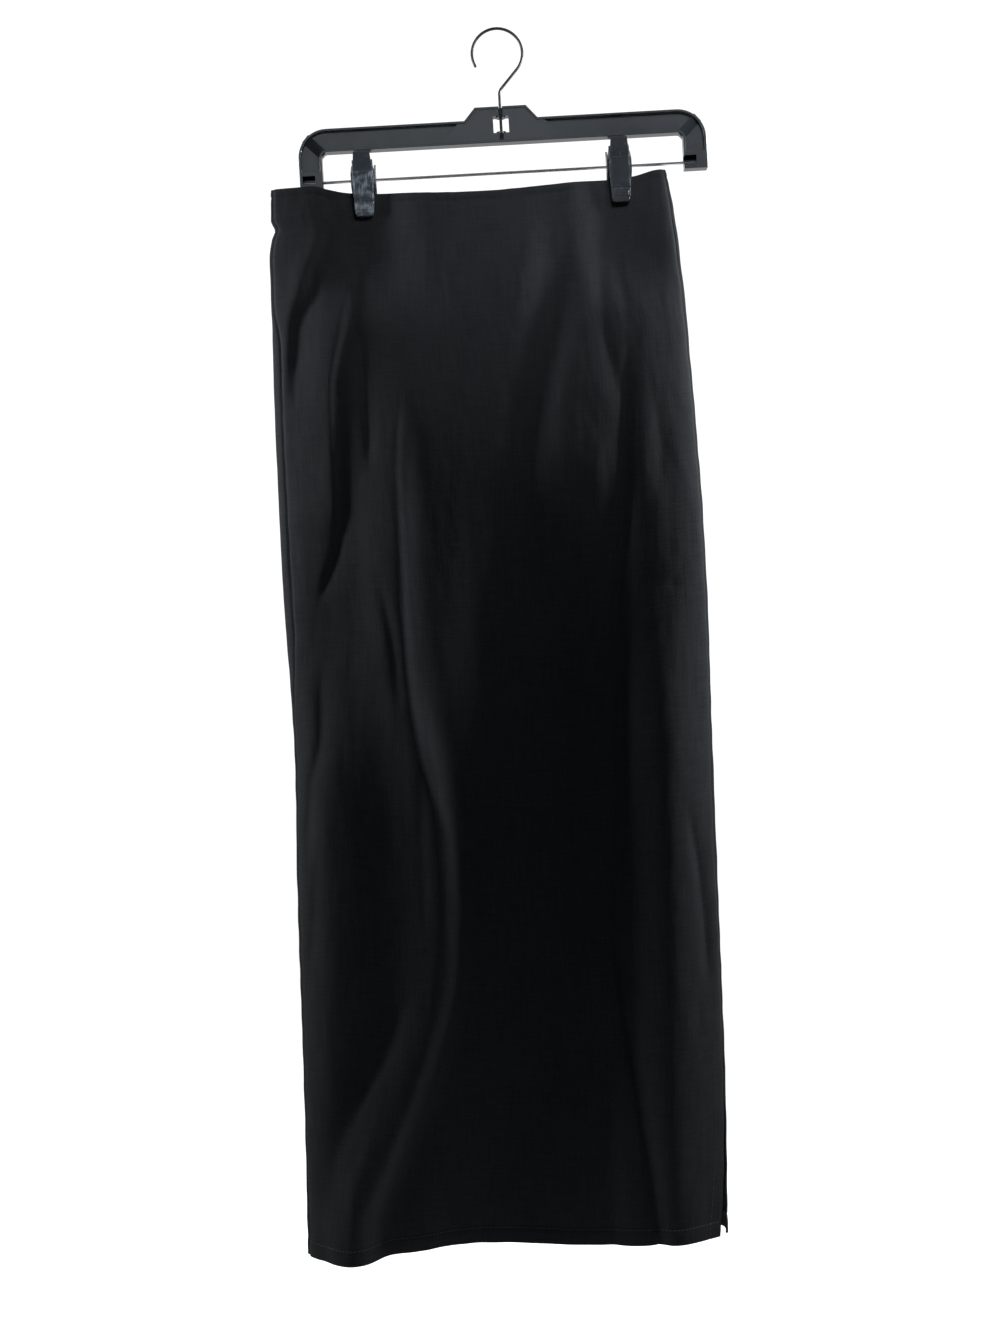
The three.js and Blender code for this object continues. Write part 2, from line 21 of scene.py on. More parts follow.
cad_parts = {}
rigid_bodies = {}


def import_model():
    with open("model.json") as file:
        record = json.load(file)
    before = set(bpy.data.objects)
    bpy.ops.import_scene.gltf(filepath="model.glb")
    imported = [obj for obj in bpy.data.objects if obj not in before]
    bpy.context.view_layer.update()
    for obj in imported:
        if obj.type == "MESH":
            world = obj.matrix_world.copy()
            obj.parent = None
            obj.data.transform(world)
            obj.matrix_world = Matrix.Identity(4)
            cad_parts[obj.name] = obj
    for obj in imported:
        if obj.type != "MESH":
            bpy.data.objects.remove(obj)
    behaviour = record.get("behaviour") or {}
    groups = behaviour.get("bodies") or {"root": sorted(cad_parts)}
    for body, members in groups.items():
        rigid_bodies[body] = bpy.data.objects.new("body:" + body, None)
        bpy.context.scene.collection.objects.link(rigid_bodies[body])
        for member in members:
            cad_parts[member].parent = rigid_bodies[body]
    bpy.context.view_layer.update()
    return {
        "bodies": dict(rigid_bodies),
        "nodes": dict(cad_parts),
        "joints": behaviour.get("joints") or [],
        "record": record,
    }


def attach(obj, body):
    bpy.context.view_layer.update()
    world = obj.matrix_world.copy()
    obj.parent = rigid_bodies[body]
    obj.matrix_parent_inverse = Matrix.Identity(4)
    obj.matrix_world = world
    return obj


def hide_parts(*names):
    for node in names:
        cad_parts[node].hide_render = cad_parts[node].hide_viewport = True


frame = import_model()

MM = 0.001
BODY = "root"
CLIP_PLACES = (-122.7, 101.0)
LOG = logging.getLogger("maxi_skirt")


# ------------------------------------------------------------------ small maths


def smoothstep(low: float, high: float, value: np.ndarray | float) -> np.ndarray:
    """Rise smoothly from 0 to 1.

    Args:
        low: Where the rise starts.
        high: Where the rise ends.
        value: Where to read it.

    Returns:
        The height of the rise at each value.
    """
    t = np.clip((np.asarray(value, float) - low) / (high - low), 0.0, 1.0)
    return t * t * (3 - 2 * t)


def bump_curve(distance: np.ndarray, width: float) -> np.ndarray:
    """Read a bell curve of height 1 and the given half-width."""
    return np.exp(-((distance / width) ** 2))


def uneven_wave(at: np.ndarray, length: float, sway: float, sway_length: float) -> np.ndarray:
    """Read a wave whose spacing sways, so that it never repeats evenly."""
    return np.sin(at / length + sway * np.sin(at / sway_length))


def smooth_table(keys: Sequence[float], values: Sequence[float], at: np.ndarray | float) -> np.ndarray:
    """Read a smooth curve through a table, with no overshoot and flat beyond its ends.

    Args:
        keys: The table's places, rising.
        values: The value at each place.
        at: Where to read the curve.

    Returns:
        The curve's value at each place asked for.
    """
    x = np.asarray(keys, float)
    y = np.asarray(values, float)
    at = np.clip(np.asarray(at, float), x[0], x[-1])
    rise = np.diff(y) / np.diff(x)
    slope = np.empty_like(y)
    slope[0], slope[-1] = rise[0], rise[-1]
    before, after = rise[:-1], rise[1:]
    same_way = before * after > 0
    total = np.where(same_way, before + after, 1.0)
    slope[1:-1] = np.where(same_way, 2 * before * after / total, 0.0)
    i = np.clip(np.searchsorted(x, at, side="right") - 1, 0, len(x) - 2)
    span = x[i + 1] - x[i]
    t = (at - x[i]) / span
    start = (2 * t**3 - 3 * t**2 + 1) * y[i] + (t**3 - 2 * t**2 + t) * span * slope[i]
    end = (-2 * t**3 + 3 * t**2) * y[i + 1] + (t**3 - t**2) * span * slope[i + 1]
    return start + end


# ------------------------------------------------------------------ finishes


def linear_colour(hex_code: str) -> tuple[float, float, float, float]:
    """Turn an sRGB hex colour to the linear one that shaders use.

    Args:
        hex_code: The colour as "#rrggbb".

    Returns:
        Linear red, green, blue and an alpha of 1.
    """
    channels = [int(hex_code[i : i + 2], 16) / 255 for i in (1, 3, 5)]
    linear = [c / 12.92 if c <= 0.04045 else ((c + 0.055) / 1.055) ** 2.4 for c in channels]
    return (*linear, 1.0)


def add_node(
    tree: bpy.types.NodeTree, kind: str, inputs: dict | None = None, **settings: object
) -> bpy.types.Node:
    """Add one node with its settings, input values and links.

    Args:
        tree: The tree that the node joins.
        kind: The node's type name.
        inputs: Socket name or index to a value, or to the output socket that feeds it.
        **settings: Properties of the node itself.

    Returns:
        The new node.
    """
    made = tree.nodes.new(kind)
    for name, value in settings.items():
        setattr(made, name, value)
    for socket, value in (inputs or {}).items():
        if isinstance(value, bpy.types.NodeSocket):
            tree.links.new(value, made.inputs[socket])
        else:
            made.inputs[socket].default_value = value
    return made


class Finish:
    """A node material. Each kind of finish says what feeds its shader."""

    name: str

    def surface(self, tree: bpy.types.NodeTree) -> dict:
        """Say what feeds the shader: each finish has its own."""
        raise NotImplementedError

    def build(self) -> bpy.types.Material:
        """Make the material.

        Returns:
            The material, with its shader and output.
        """
        material = bpy.data.materials.new(self.name)
        material.use_nodes = True
        tree = material.node_tree
        tree.nodes.clear()
        shader = add_node(tree, "ShaderNodeBsdfPrincipled", self.surface(tree))
        add_node(tree, "ShaderNodeOutputMaterial", {"Surface": shader.outputs[0]})
        return material


@dataclass(frozen=True)
class PlainMatt(Finish):
    """An even, matt paint for the studio's own surfaces."""

    name: str
    colour: str
    roughness: float
    shine: float

    def surface(self, tree: bpy.types.NodeTree) -> dict:
        """Give the paint's plain values."""
        colour = linear_colour(self.colour)
        return {"Base Color": colour, "Roughness": self.roughness, "Specular IOR Level": self.shine}


@dataclass(frozen=True)
class CrepeCloth(Finish):
    """Matt black crepe: a plain weave of hard-twisted yarn.

    The twist makes a fine pebbled face with faint upright slubs. It takes little light face on and
    shows a soft grey bloom where it turns away. The real threads are 0.3 mm apart, too fine to
    show in a full view, so the pebble and the slubs are drawn a few threads wide.
    """

    name: str = "crepe_cloth"
    dark: str = "#111214"
    light: str = "#1b1d1f"
    pebble: float = 1.5
    slub_width: float = 1.8
    slub_length: float = 34.0
    mottle: float = 60.0
    relief: float = 0.16

    def surface(self, tree: bpy.types.NodeTree) -> dict:
        """Draw the cloth and give what feeds its shader.

        Args:
            tree: The material's nodes.

        Returns:
            The shader's inputs.
        """
        uv = add_node(tree, "ShaderNodeUVMap", uv_map="cloth").outputs[0]
        sizes = {
            "slub": (self.slub_width, self.slub_length, 2.0),
            "weft": (self.slub_length * 0.7, self.slub_width, 2.0),
            "pebble": (self.pebble, self.pebble, 1.0),
            "mottle": (self.mottle, self.mottle * 1.6, 2.0),
        }
        grain = {}
        for name, (across, along, detail) in sizes.items():
            scale = (1 / (across * MM), 1 / (along * MM), 1.0)
            stretched = add_node(tree, "ShaderNodeMapping", {"Vector": uv, "Scale": scale}).outputs[0]
            looks = {"Vector": stretched, "Scale": 1.0, "Detail": detail, "Roughness": 0.55}
            grain[name] = add_node(tree, "ShaderNodeTexNoise", looks).outputs[0]
        threads = {0: grain["slub"], 1: grain["weft"]}
        yarn = add_node(tree, "ShaderNodeMath", threads, operation="ADD").outputs[0]
        weave = {0: grain["pebble"], 1: 1.2, 2: yarn}
        height = add_node(tree, "ShaderNodeMath", weave, operation="MULTIPLY_ADD").outputs[0]
        shade = {0: grain["mottle"], 1: 0.35, 2: height}
        tone = add_node(tree, "ShaderNodeMath", shade, operation="MULTIPLY_ADD").outputs[0]
        spread = {"Value": tone, "From Min": 1.2, "From Max": 2.4}
        share = add_node(tree, "ShaderNodeMapRange", spread).outputs[0]
        ends = {0: share, 6: linear_colour(self.dark), 7: linear_colour(self.light)}
        colour = add_node(tree, "ShaderNodeMix", ends, data_type="RGBA").outputs[2]
        wear = {"Value": grain["mottle"], "From Min": 0.3, "From Max": 0.7, "To Min": 0.74, "To Max": 0.86}
        rough = add_node(tree, "ShaderNodeMapRange", wear).outputs[0]
        relief = {"Height": height, "Strength": 0.5, "Distance": self.relief * MM}
        return {
            "Base Color": colour,
            "Roughness": rough,
            "IOR": 1.45,
            "Specular IOR Level": 0.02,
            "Sheen Weight": 0.02,
            "Sheen Roughness": 0.5,
            "Sheen Tint": linear_colour("#c6c9cc"),
            "Normal": add_node(tree, "ShaderNodeBump", relief).outputs[0],
        }


@dataclass(frozen=True)
class SewingThread(Finish):
    """Black spun polyester thread: a twist with a low sheen, a touch glossier than the cloth."""

    name: str = "sewing_thread"
    colour: str = "#141518"
    lit: str = "#1d1f23"
    twist: float = 0.5

    def surface(self, tree: bpy.types.NodeTree) -> dict:
        """Draw the thread and give what feeds its shader.

        Args:
            tree: The material's nodes.

        Returns:
            The shader's inputs.
        """
        place = add_node(tree, "ShaderNodeTexCoord").outputs["Object"]
        twist = {"Vector": place, "Scale": 1 / (self.twist * MM), "Detail": 1.0}
        fibre = add_node(tree, "ShaderNodeTexNoise", twist).outputs[0]
        ends = {0: fibre, 6: linear_colour(self.colour), 7: linear_colour(self.lit)}
        colour = add_node(tree, "ShaderNodeMix", ends, data_type="RGBA").outputs[2]
        bump = add_node(tree, "ShaderNodeBump", {"Height": fibre, "Strength": 0.4, "Distance": 0.05 * MM})
        return {
            "Base Color": colour,
            "Roughness": 0.6,
            "Specular IOR Level": 0.25,
            "Normal": bump.outputs[0],
        }


@dataclass(frozen=True)
class MouldedPlastic(Finish):
    """Moulded polystyrene: glossy, with a faint flow ripple and rubbed, duller patches.

    The scuffs are pale scratches of a fraction of a millimetre, as clips get from other clips. Kept to the
    part below a step, they also make that part lighter: painted light, as where it faces up into the
    light.
    """

    name: str
    dark: str
    light: str
    roughness: float = 0.2
    ripple: float = 9.0
    scratch_and_light_share: float = 0.0
    scratch_and_light_colour: str = "#8d969f"
    scratch_and_light_below: float = 119.5

    def surface(self, tree: bpy.types.NodeTree) -> dict:
        """Draw the plastic and give what feeds its shader.

        Args:
            tree: The material's nodes.

        Returns:
            The shader's inputs.
        """
        place = add_node(tree, "ShaderNodeTexCoord").outputs["Object"]
        flow = {"Vector": place, "Scale": 1 / (self.ripple * MM), "Detail": 2.0, "Distortion": 0.4}
        cloudy = add_node(tree, "ShaderNodeTexNoise", flow).outputs[0]
        ends = {0: cloudy, 6: linear_colour(self.dark), 7: linear_colour(self.light)}
        colour = add_node(tree, "ShaderNodeMix", ends, data_type="RGBA").outputs[2]
        grit = {"Vector": place, "Scale": 1 / (0.9 * MM), "Detail": 3.0}
        fine = add_node(tree, "ShaderNodeTexNoise", grit).outputs[0]
        dull = self.roughness + 0.06
        wear = {"Value": cloudy, "From Min": 0.35, "From Max": 0.7, "To Max": dull}
        rough = add_node(tree, "ShaderNodeMapRange", {**wear, "To Min": self.roughness}).outputs[0]
        relief = {0: fine, 1: 0.08, 2: cloudy}
        height = add_node(tree, "ShaderNodeMath", relief, operation="MULTIPLY_ADD").outputs[0]
        if self.scratch_and_light_share > 0:
            colour = self.scratch_and_light_lower_part(tree, place, colour)
        bump = add_node(tree, "ShaderNodeBump", {"Height": height, "Strength": 0.05, "Distance": 0.1 * MM})
        return {
            "Base Color": colour,
            "Roughness": rough,
            "IOR": 1.59,
            "Specular Tint": linear_colour("#dde9f0"),
            "Normal": bump.outputs[0],
        }

    def scratch_and_light_lower_part(
        self, tree: bpy.types.NodeTree, place: bpy.types.NodeSocket, colour: bpy.types.NodeSocket
    ) -> bpy.types.NodeSocket:
        """Lay slanted scratches in patches over the colour, below a level just above the bar. The
        scratches are wear; keeping them to that lower part also makes it lighter, which is painted light
        where it faces up.

        Args:
            tree: The material's nodes.
            place: The object's coordinates.
            colour: The colour under the scratches.

        Returns:
            The scratched colour.
        """
        slanted = {
            "Vector": place,
            "Rotation": (0.0, math.radians(35), 0.0),
            "Scale": (900.0, 900.0, 170.0),
        }
        along = add_node(tree, "ShaderNodeMapping", slanted).outputs[0]
        lines = {"Vector": along, "Scale": 1.0, "Detail": 4.0}
        scratch = add_node(tree, "ShaderNodeTexNoise", lines).outputs[0]
        patches = {"Vector": place, "Scale": 1 / (7 * MM), "Detail": 1.0}
        patch = add_node(tree, "ShaderNodeTexNoise", patches).outputs[0]
        both = add_node(tree, "ShaderNodeMath", {0: scratch, 1: patch}, operation="MULTIPLY").outputs[0]
        worn_and_lit = {"Value": both, "From Min": 0.20, "From Max": 0.42, "To Max": self.scratch_and_light_share}
        share = add_node(tree, "ShaderNodeMapRange", worn_and_lit).outputs[0]
        # Painted light: this step keeps the pale scratches to the part below it, so that part comes out
        # lighter as if it faced up into the light.
        level = add_node(tree, "ShaderNodeSeparateXYZ", {0: place}).outputs[2]
        top, full = self.scratch_and_light_below, self.scratch_and_light_below + 0.8
        step = {"Value": level, "From Min": -top * MM, "From Max": -full * MM}
        below = add_node(tree, "ShaderNodeMapRange", step).outputs[0]
        held = add_node(tree, "ShaderNodeMath", {0: share, 1: below}, operation="MULTIPLY").outputs[0]
        rubbed = {0: held, 6: colour, 7: linear_colour(self.scratch_and_light_colour)}
        return add_node(tree, "ShaderNodeMix", rubbed, data_type="RGBA").outputs[2]


@dataclass(frozen=True)
class DrawnWire(Finish):
    """Drawn steel wire: fine lines along it from the die, bare zinc or under a black coat."""

    name: str
    dark: str
    light: str
    metallic: float
    roughness: float

    def surface(self, tree: bpy.types.NodeTree) -> dict:
        """Draw the wire and give what feeds its shader.

        Args:
            tree: The material's nodes.

        Returns:
            The shader's inputs.
        """
        place = add_node(tree, "ShaderNodeTexCoord").outputs["Object"]
        drawn = {"Vector": place, "Scale": (90.0, 2400.0, 90.0)}
        drawn = add_node(tree, "ShaderNodeMapping", drawn).outputs[0]
        lines = {"Vector": drawn, "Scale": 1.0, "Detail": 3.0}
        lines = add_node(tree, "ShaderNodeTexNoise", lines).outputs[0]
        ends = {0: lines, 6: linear_colour(self.dark), 7: linear_colour(self.light)}
        colour = add_node(tree, "ShaderNodeMix", ends, data_type="RGBA").outputs[2]
        spread = {"Value": lines, "To Min": self.roughness - 0.08, "To Max": self.roughness + 0.12}
        rough = add_node(tree, "ShaderNodeMapRange", spread).outputs[0]
        bump = add_node(tree, "ShaderNodeBump", {"Height": lines, "Strength": 0.3, "Distance": 0.04 * MM})
        return {
            "Base Color": colour,
            "Metallic": self.metallic,
            "Roughness": rough,
            "Normal": bump.outputs[0],
        }


class Slot(Enum):
    """The record's material slots."""

    CLOTH = "skirt_cloth"
    HANGER = "hanger_plastic"
    CLIP = "clip_plastic"
    HOOK = "hook_metal"
    ZINC = "zinc_steel"


# ------------------------------------------------------------------ working by hand

def deselect_all() -> None:
    """Deselect every object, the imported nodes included."""
    for thing in bpy.context.view_layer.objects:
        thing.select_set(False)


def make_active(piece: bpy.types.Object) -> None:
    """Make one object the only selected one, and the active one."""
    deselect_all()
    piece.select_set(True)
    bpy.context.view_layer.objects.active = piece


@contextmanager
def edit_mode(piece: bpy.types.Object) -> Iterator[None]:
    """Open an object in edit mode with nothing selected, and close it at the end."""
    make_active(piece)
    bpy.ops.object.mode_set(mode="EDIT")
    bpy.ops.mesh.select_all(action="DESELECT")
    try:
        yield
    finally:
        bpy.ops.object.mode_set(mode="OBJECT")


def pick(piece: bpy.types.Object, kind: str, test: Callable[[object], bool]) -> None:
    """Select the faces, edges or verts that pass a test, and nothing else, in edit mode.

    Args:
        piece: The object in edit mode.
        kind: "faces", "edges" or "verts".
        test: Takes the element and says whether it is picked.
    """
    modes = [kind == mode for mode in ("verts", "edges", "faces")]
    bpy.context.tool_settings.mesh_select_mode = modes
    bpy.ops.mesh.select_all(action="DESELECT")
    shape = bmesh.from_edit_mesh(piece.data)
    for part in getattr(shape, kind):
        if test(part):
            part.select_set(True)
    bmesh.update_edit_mesh(piece.data)


def extrude(x: float, y: float, z: float) -> None:
    """Extrude what is selected, by a distance in millimetres."""
    bpy.ops.mesh.extrude_region_move(TRANSFORM_OT_translate={"value": (x * MM, y * MM, z * MM)})


def shift(x: float, y: float, z: float) -> None:
    """Move what is selected, by a distance in millimetres."""
    bpy.ops.transform.translate(value=(x * MM, y * MM, z * MM))


def resize(shares: Sequence[float], about: Sequence[float]) -> None:
    """Size what is selected about a point in millimetres."""
    bpy.ops.transform.resize(value=shares, center_override=[value * MM for value in about])


def spin(steps: int, angle: float, about: Sequence[float]) -> None:
    """Sweep what is selected round a point in millimetres, turning right-handed about Y."""
    centre = [value * MM for value in about]
    # The operator itself turns the other way.
    bpy.ops.mesh.spin(steps=steps, angle=-angle, center=centre, axis=(0, 1, 0))


def apply_modifier(piece: bpy.types.Object, kind: str, **settings: object) -> None:
    """Add a modifier with its settings and apply it.

    Args:
        piece: The object that takes it.
        kind: The modifier's type, such as "BEVEL".
        **settings: The modifier's properties.
    """
    make_active(piece)
    modifier = piece.modifiers.new(kind.title(), kind)
    for name, value in settings.items():
        setattr(modifier, name, value)
    bpy.ops.object.modifier_apply(modifier=modifier.name)


def cut_away(piece: bpy.types.Object, cutter: bpy.types.Object, operation: str = "DIFFERENCE") -> None:
    """Cut a second object out of a piece, or join it on, and delete the second object.

    Args:
        piece: The object that is changed.
        cutter: The object that is used up.
        operation: "DIFFERENCE" or "UNION".
    """
    apply_modifier(piece, "BOOLEAN", object=cutter, operation=operation, solver="EXACT")
    bpy.data.objects.remove(cutter, do_unlink=True)


def apply_place(piece: bpy.types.Object) -> None:
    """Put an object's place, turn and size into its mesh."""
    make_active(piece)
    bpy.ops.object.transform_apply(location=True, rotation=True, scale=True)


def add_box(low: Sequence[float], high: Sequence[float]) -> bpy.types.Object:
    """Add a box between two corners, in millimetres."""
    deselect_all()
    middle = [(a + b) / 2 * MM for a, b in zip(low, high)]
    bpy.ops.mesh.primitive_cube_add(size=1, location=middle)
    box = bpy.context.active_object
    box.scale = [(b - a) * MM for a, b in zip(low, high)]
    apply_place(box)
    return box


def add_rod(radius: float, start: Sequence[float], end: Sequence[float], sides: int) -> bpy.types.Object:
    """Add a plain cylinder between two points, in millimetres."""
    deselect_all()
    a, b = Vector(start) * MM, Vector(end) * MM
    turn = (b - a).to_track_quat("Z", "Y").to_euler()
    bpy.ops.mesh.primitive_cylinder_add(
        vertices=sides, radius=radius * MM, depth=(b - a).length, location=(a + b) / 2, rotation=turn
    )
    rod = bpy.context.active_object
    apply_place(rod)
    return rod


def finish_mesh(piece: bpy.types.Object, smooth_angle: float = 35.0) -> None:
    """Merge doubles, turn faces outward and shade smooth up to an angle in degrees."""
    with edit_mode(piece):
        bpy.ops.mesh.select_all(action="SELECT")
        bpy.ops.mesh.remove_doubles(threshold=0.01 * MM)
        bpy.ops.mesh.normals_make_consistent(inside=False)
    make_active(piece)
    bpy.ops.object.shade_smooth_by_angle(angle=math.radians(smooth_angle))
    apply_modifier(piece, "WEIGHTED_NORMAL", keep_sharp=True)


def new_object(mesh: bpy.types.Mesh) -> bpy.types.Object:
    """Put a mesh into the scene as an object of its own."""
    piece = bpy.data.objects.new(mesh.name, mesh)
    bpy.context.scene.collection.objects.link(piece)
    return piece


def hand_over(
    piece: bpy.types.Object, name: str, material: bpy.types.Material, slot: Slot, *stands_for: str
) -> bpy.types.Object:
    """Name and dress a finished piece, and tie it to the frame.

    Args:
        piece: The finished object.
        name: The piece's name.
        material: Its finish.
        slot: The record's slot for its finish; not used.
        *stands_for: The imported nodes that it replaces.

    Returns:
        The same object.
    """
    piece.name = name
    piece.data.name = name
    piece.data.materials.clear()
    piece.data.materials.append(material)
    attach(piece, BODY)
    if stands_for:
        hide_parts(*stands_for)
    LOG.info("%s: %d faces", name, len(piece.data.polygons))
    return piece


# ------------------------------------------------------------------ the skirt's form


class Side(Enum):
    """The two cut panels, with the sign of Y on their side."""

    FRONT = -1
    BACK = 1


class Run(Enum):
    """Which way a crease mostly runs."""

    DOWN = "down"
    ACROSS = "across"


Line = tuple[tuple[float, float], ...]


@dataclass(frozen=True)
class Crease:
    """One fold or crease of the hanging cloth.

    Attributes:
        name: What it is.
        out: How far it stands out of the panel, or below 0 how deep it is.
        left: Its half-width to its left, or above it where it runs across.
        right: Its half-width to its right, or below it.
        line: The points it follows, each a drop and a place along X.
        fade: The length over which it grows from nothing at an end that is off the hem.
        run: Which way it runs.
        power: How it falls away: 2 is a bell, and less comes to a sharper edge.
        tip: How much of that edge is rounded off, as a share of its width.
    """

    name: str
    out: float
    left: float
    right: float
    line: Line
    fade: float = 60.0
    run: Run = Run.DOWN
    power: float = 1.3
    tip: float = 0.15

    def height(self, x: np.ndarray, drop: np.ndarray, hem: float) -> np.ndarray:
        """Read how far the crease lifts the cloth.

        Args:
            x: Places along X.
            drop: Drops of the same places.
            hem: The hem's drop, at which a crease doesn't fade.

        Returns:
            The lift at each place.
        """
        rows = sorted(self.line) if self.run is Run.DOWN else sorted(self.line, key=lambda point: point[1])
        drops = [point[0] for point in rows]
        places = [point[1] for point in rows]
        along, away, keys = drop, x - smooth_table(drops, places, drop), drops
        if self.run is Run.ACROSS:
            along, away, keys = x, drop - smooth_table(places, drops, x), places
        grows = smoothstep(keys[0] - self.fade / 2, keys[0] + self.fade, along)
        dies = 1 - smoothstep(keys[-1] - self.fade, keys[-1] + self.fade / 2, along)
        if self.run is Run.DOWN and keys[-1] > hem - 2 * self.fade:
            dies = 1.0
        width = np.where(away < 0, self.left, self.right)
        reach = np.sqrt((away / width) ** 2 + self.tip**2) - self.tip
        return self.out * grows * dies * np.exp(-(reach**self.power))


# The closed loop of the skirt at each drop: its side edges, how far each side edge stands forward,
# and how far the front and the back stand out from the line between the side edges.
SECTION_COLUMNS = ("drop", "left", "right", "left_forward", "right_forward", "front", "back")
SECTIONS = (
    (128, -204, 141, 0, 0, 10, 10),
    (156, -205.5, 145.5, 0, 0, 11.3, 10.7),
    (165, -202, 146.3, 0, 0, 11.9, 11),
    (173, -205.5, 147, 0, 0, 12.5, 11.3),
    (186, -208, 148.2, 0, 0, 13.6, 11.9),
    (260, -210, 152.5, 1, 1, 20, 15),
    (360, -212, 155.5, 3, 2, 27, 19),
    (460, -212, 157, 4, 3, 30, 22),
    (610, -210, 154.5, 6, 4, 30, 24),
    (720, -213.5, 152, 7, 6, 29, 25),
    (860, -216.5, 149.5, 8, 9, 28, 26),
    (960, -219, 146.5, 9, 12, 28, 27),
    (1060, -222, 142.5, 10, 14, 28, 28),
)

# The waist's top edge dips between the clips: a place along X and its drop.
WAIST_EDGE = (
    (-206, 129.5), (-182, 130), (-168, 129.8), (-154, 133), (-140, 135.6), (-109, 138.2), (-70, 141.6),
    (-17, 143), (36, 140.8), (75, 138), (112, 135), (133, 131), (145, 130.4),
)

# Where the side seams lie: the distance in from each side edge, on the front. Below the slit's top
# the two panels' edges part.
SEAM_COLUMNS = ("drop", "left", "right_front", "right_back")
SEAMS = (
    (128, 2, 2, 2),
    (230, 3, 2, 2),
    (270, 8.5, 2, 2),
    (510, 8.5, 2, 2),
    (600, 2.5, 2, 2),
    (875, 2, 2, 2),
    (980, 2, 3.6, 2),
    (1060, 2, 9.5, 2.2),
)

# The largest folds fade over this length.
WIDE = 110.0


def wide_fold(name: str, out: float, left: float, right: float, line: Line) -> Crease:
    """Make one of the largest folds, which fall away as a plain bell."""
    return Crease(name, out, left, right, line, WIDE, power=2.0, tip=0.0)


# The folds that the frame's solids have too. Those at the left clip are softer here.
FRONT_FOLDS = (
    wide_fold("left_fullness", 9, 30, 46, ((560, -178), (760, -184), (1060, -196))),
    wide_fold("middle_hollow", -26, 56, 74, ((420, 6), (700, -4), (860, -22), (960, -48), (1060, -72))),
    wide_fold("right_fullness", 9, 34, 30, ((520, 112), (800, 104), (1060, 92))),
    wide_fold(
        "long_ridge", 10, 34, 14,
        ((330, -104), (540, -108), (700, -84), (800, -86), (900, -116), (1015, -170)),
    ),
    wide_fold("left_clip_ridge", 2.2, 28, 26, ((176, -132), (272, -153), (400, -162), (500, -186))),
    wide_fold("left_clip_trough", -1.2, 16, 26, ((172, -117), (274, -134), (404, -142), (480, -162))),
    wide_fold("right_clip_trough", -7, 24, 17, ((176, 52), (266, 31), (366, 7), (440, -2))),
    wide_fold("right_long_crease", -4, 15, 15, ((300, 96), (450, 84), (705, 66), (880, 66), (1040, 79))),
)
BACK_FOLDS = (
    wide_fold("back_left_clip_ridge", 5, 18, 26, ((180, -108), (280, -84), (420, -72), (560, -66))),
    wide_fold("back_left_clip_trough", -5, 22, 15, ((178, -134), (300, -150), (430, -158))),
    wide_fold("back_right_clip_trough", -5.5, 16, 22, ((176, 104), (290, 118), (410, 124))),
    wide_fold("back_middle_ridge", 7, 40, 30, ((360, 10), (600, 22), (830, 12), (1060, -12))),
    wide_fold("back_left_trough", -8, 34, 26, ((520, -96), (760, -104), (1060, -122))),
    wide_fold("back_right_trough", -7, 24, 32, ((470, 74), (720, 82), (1060, 70))),
)

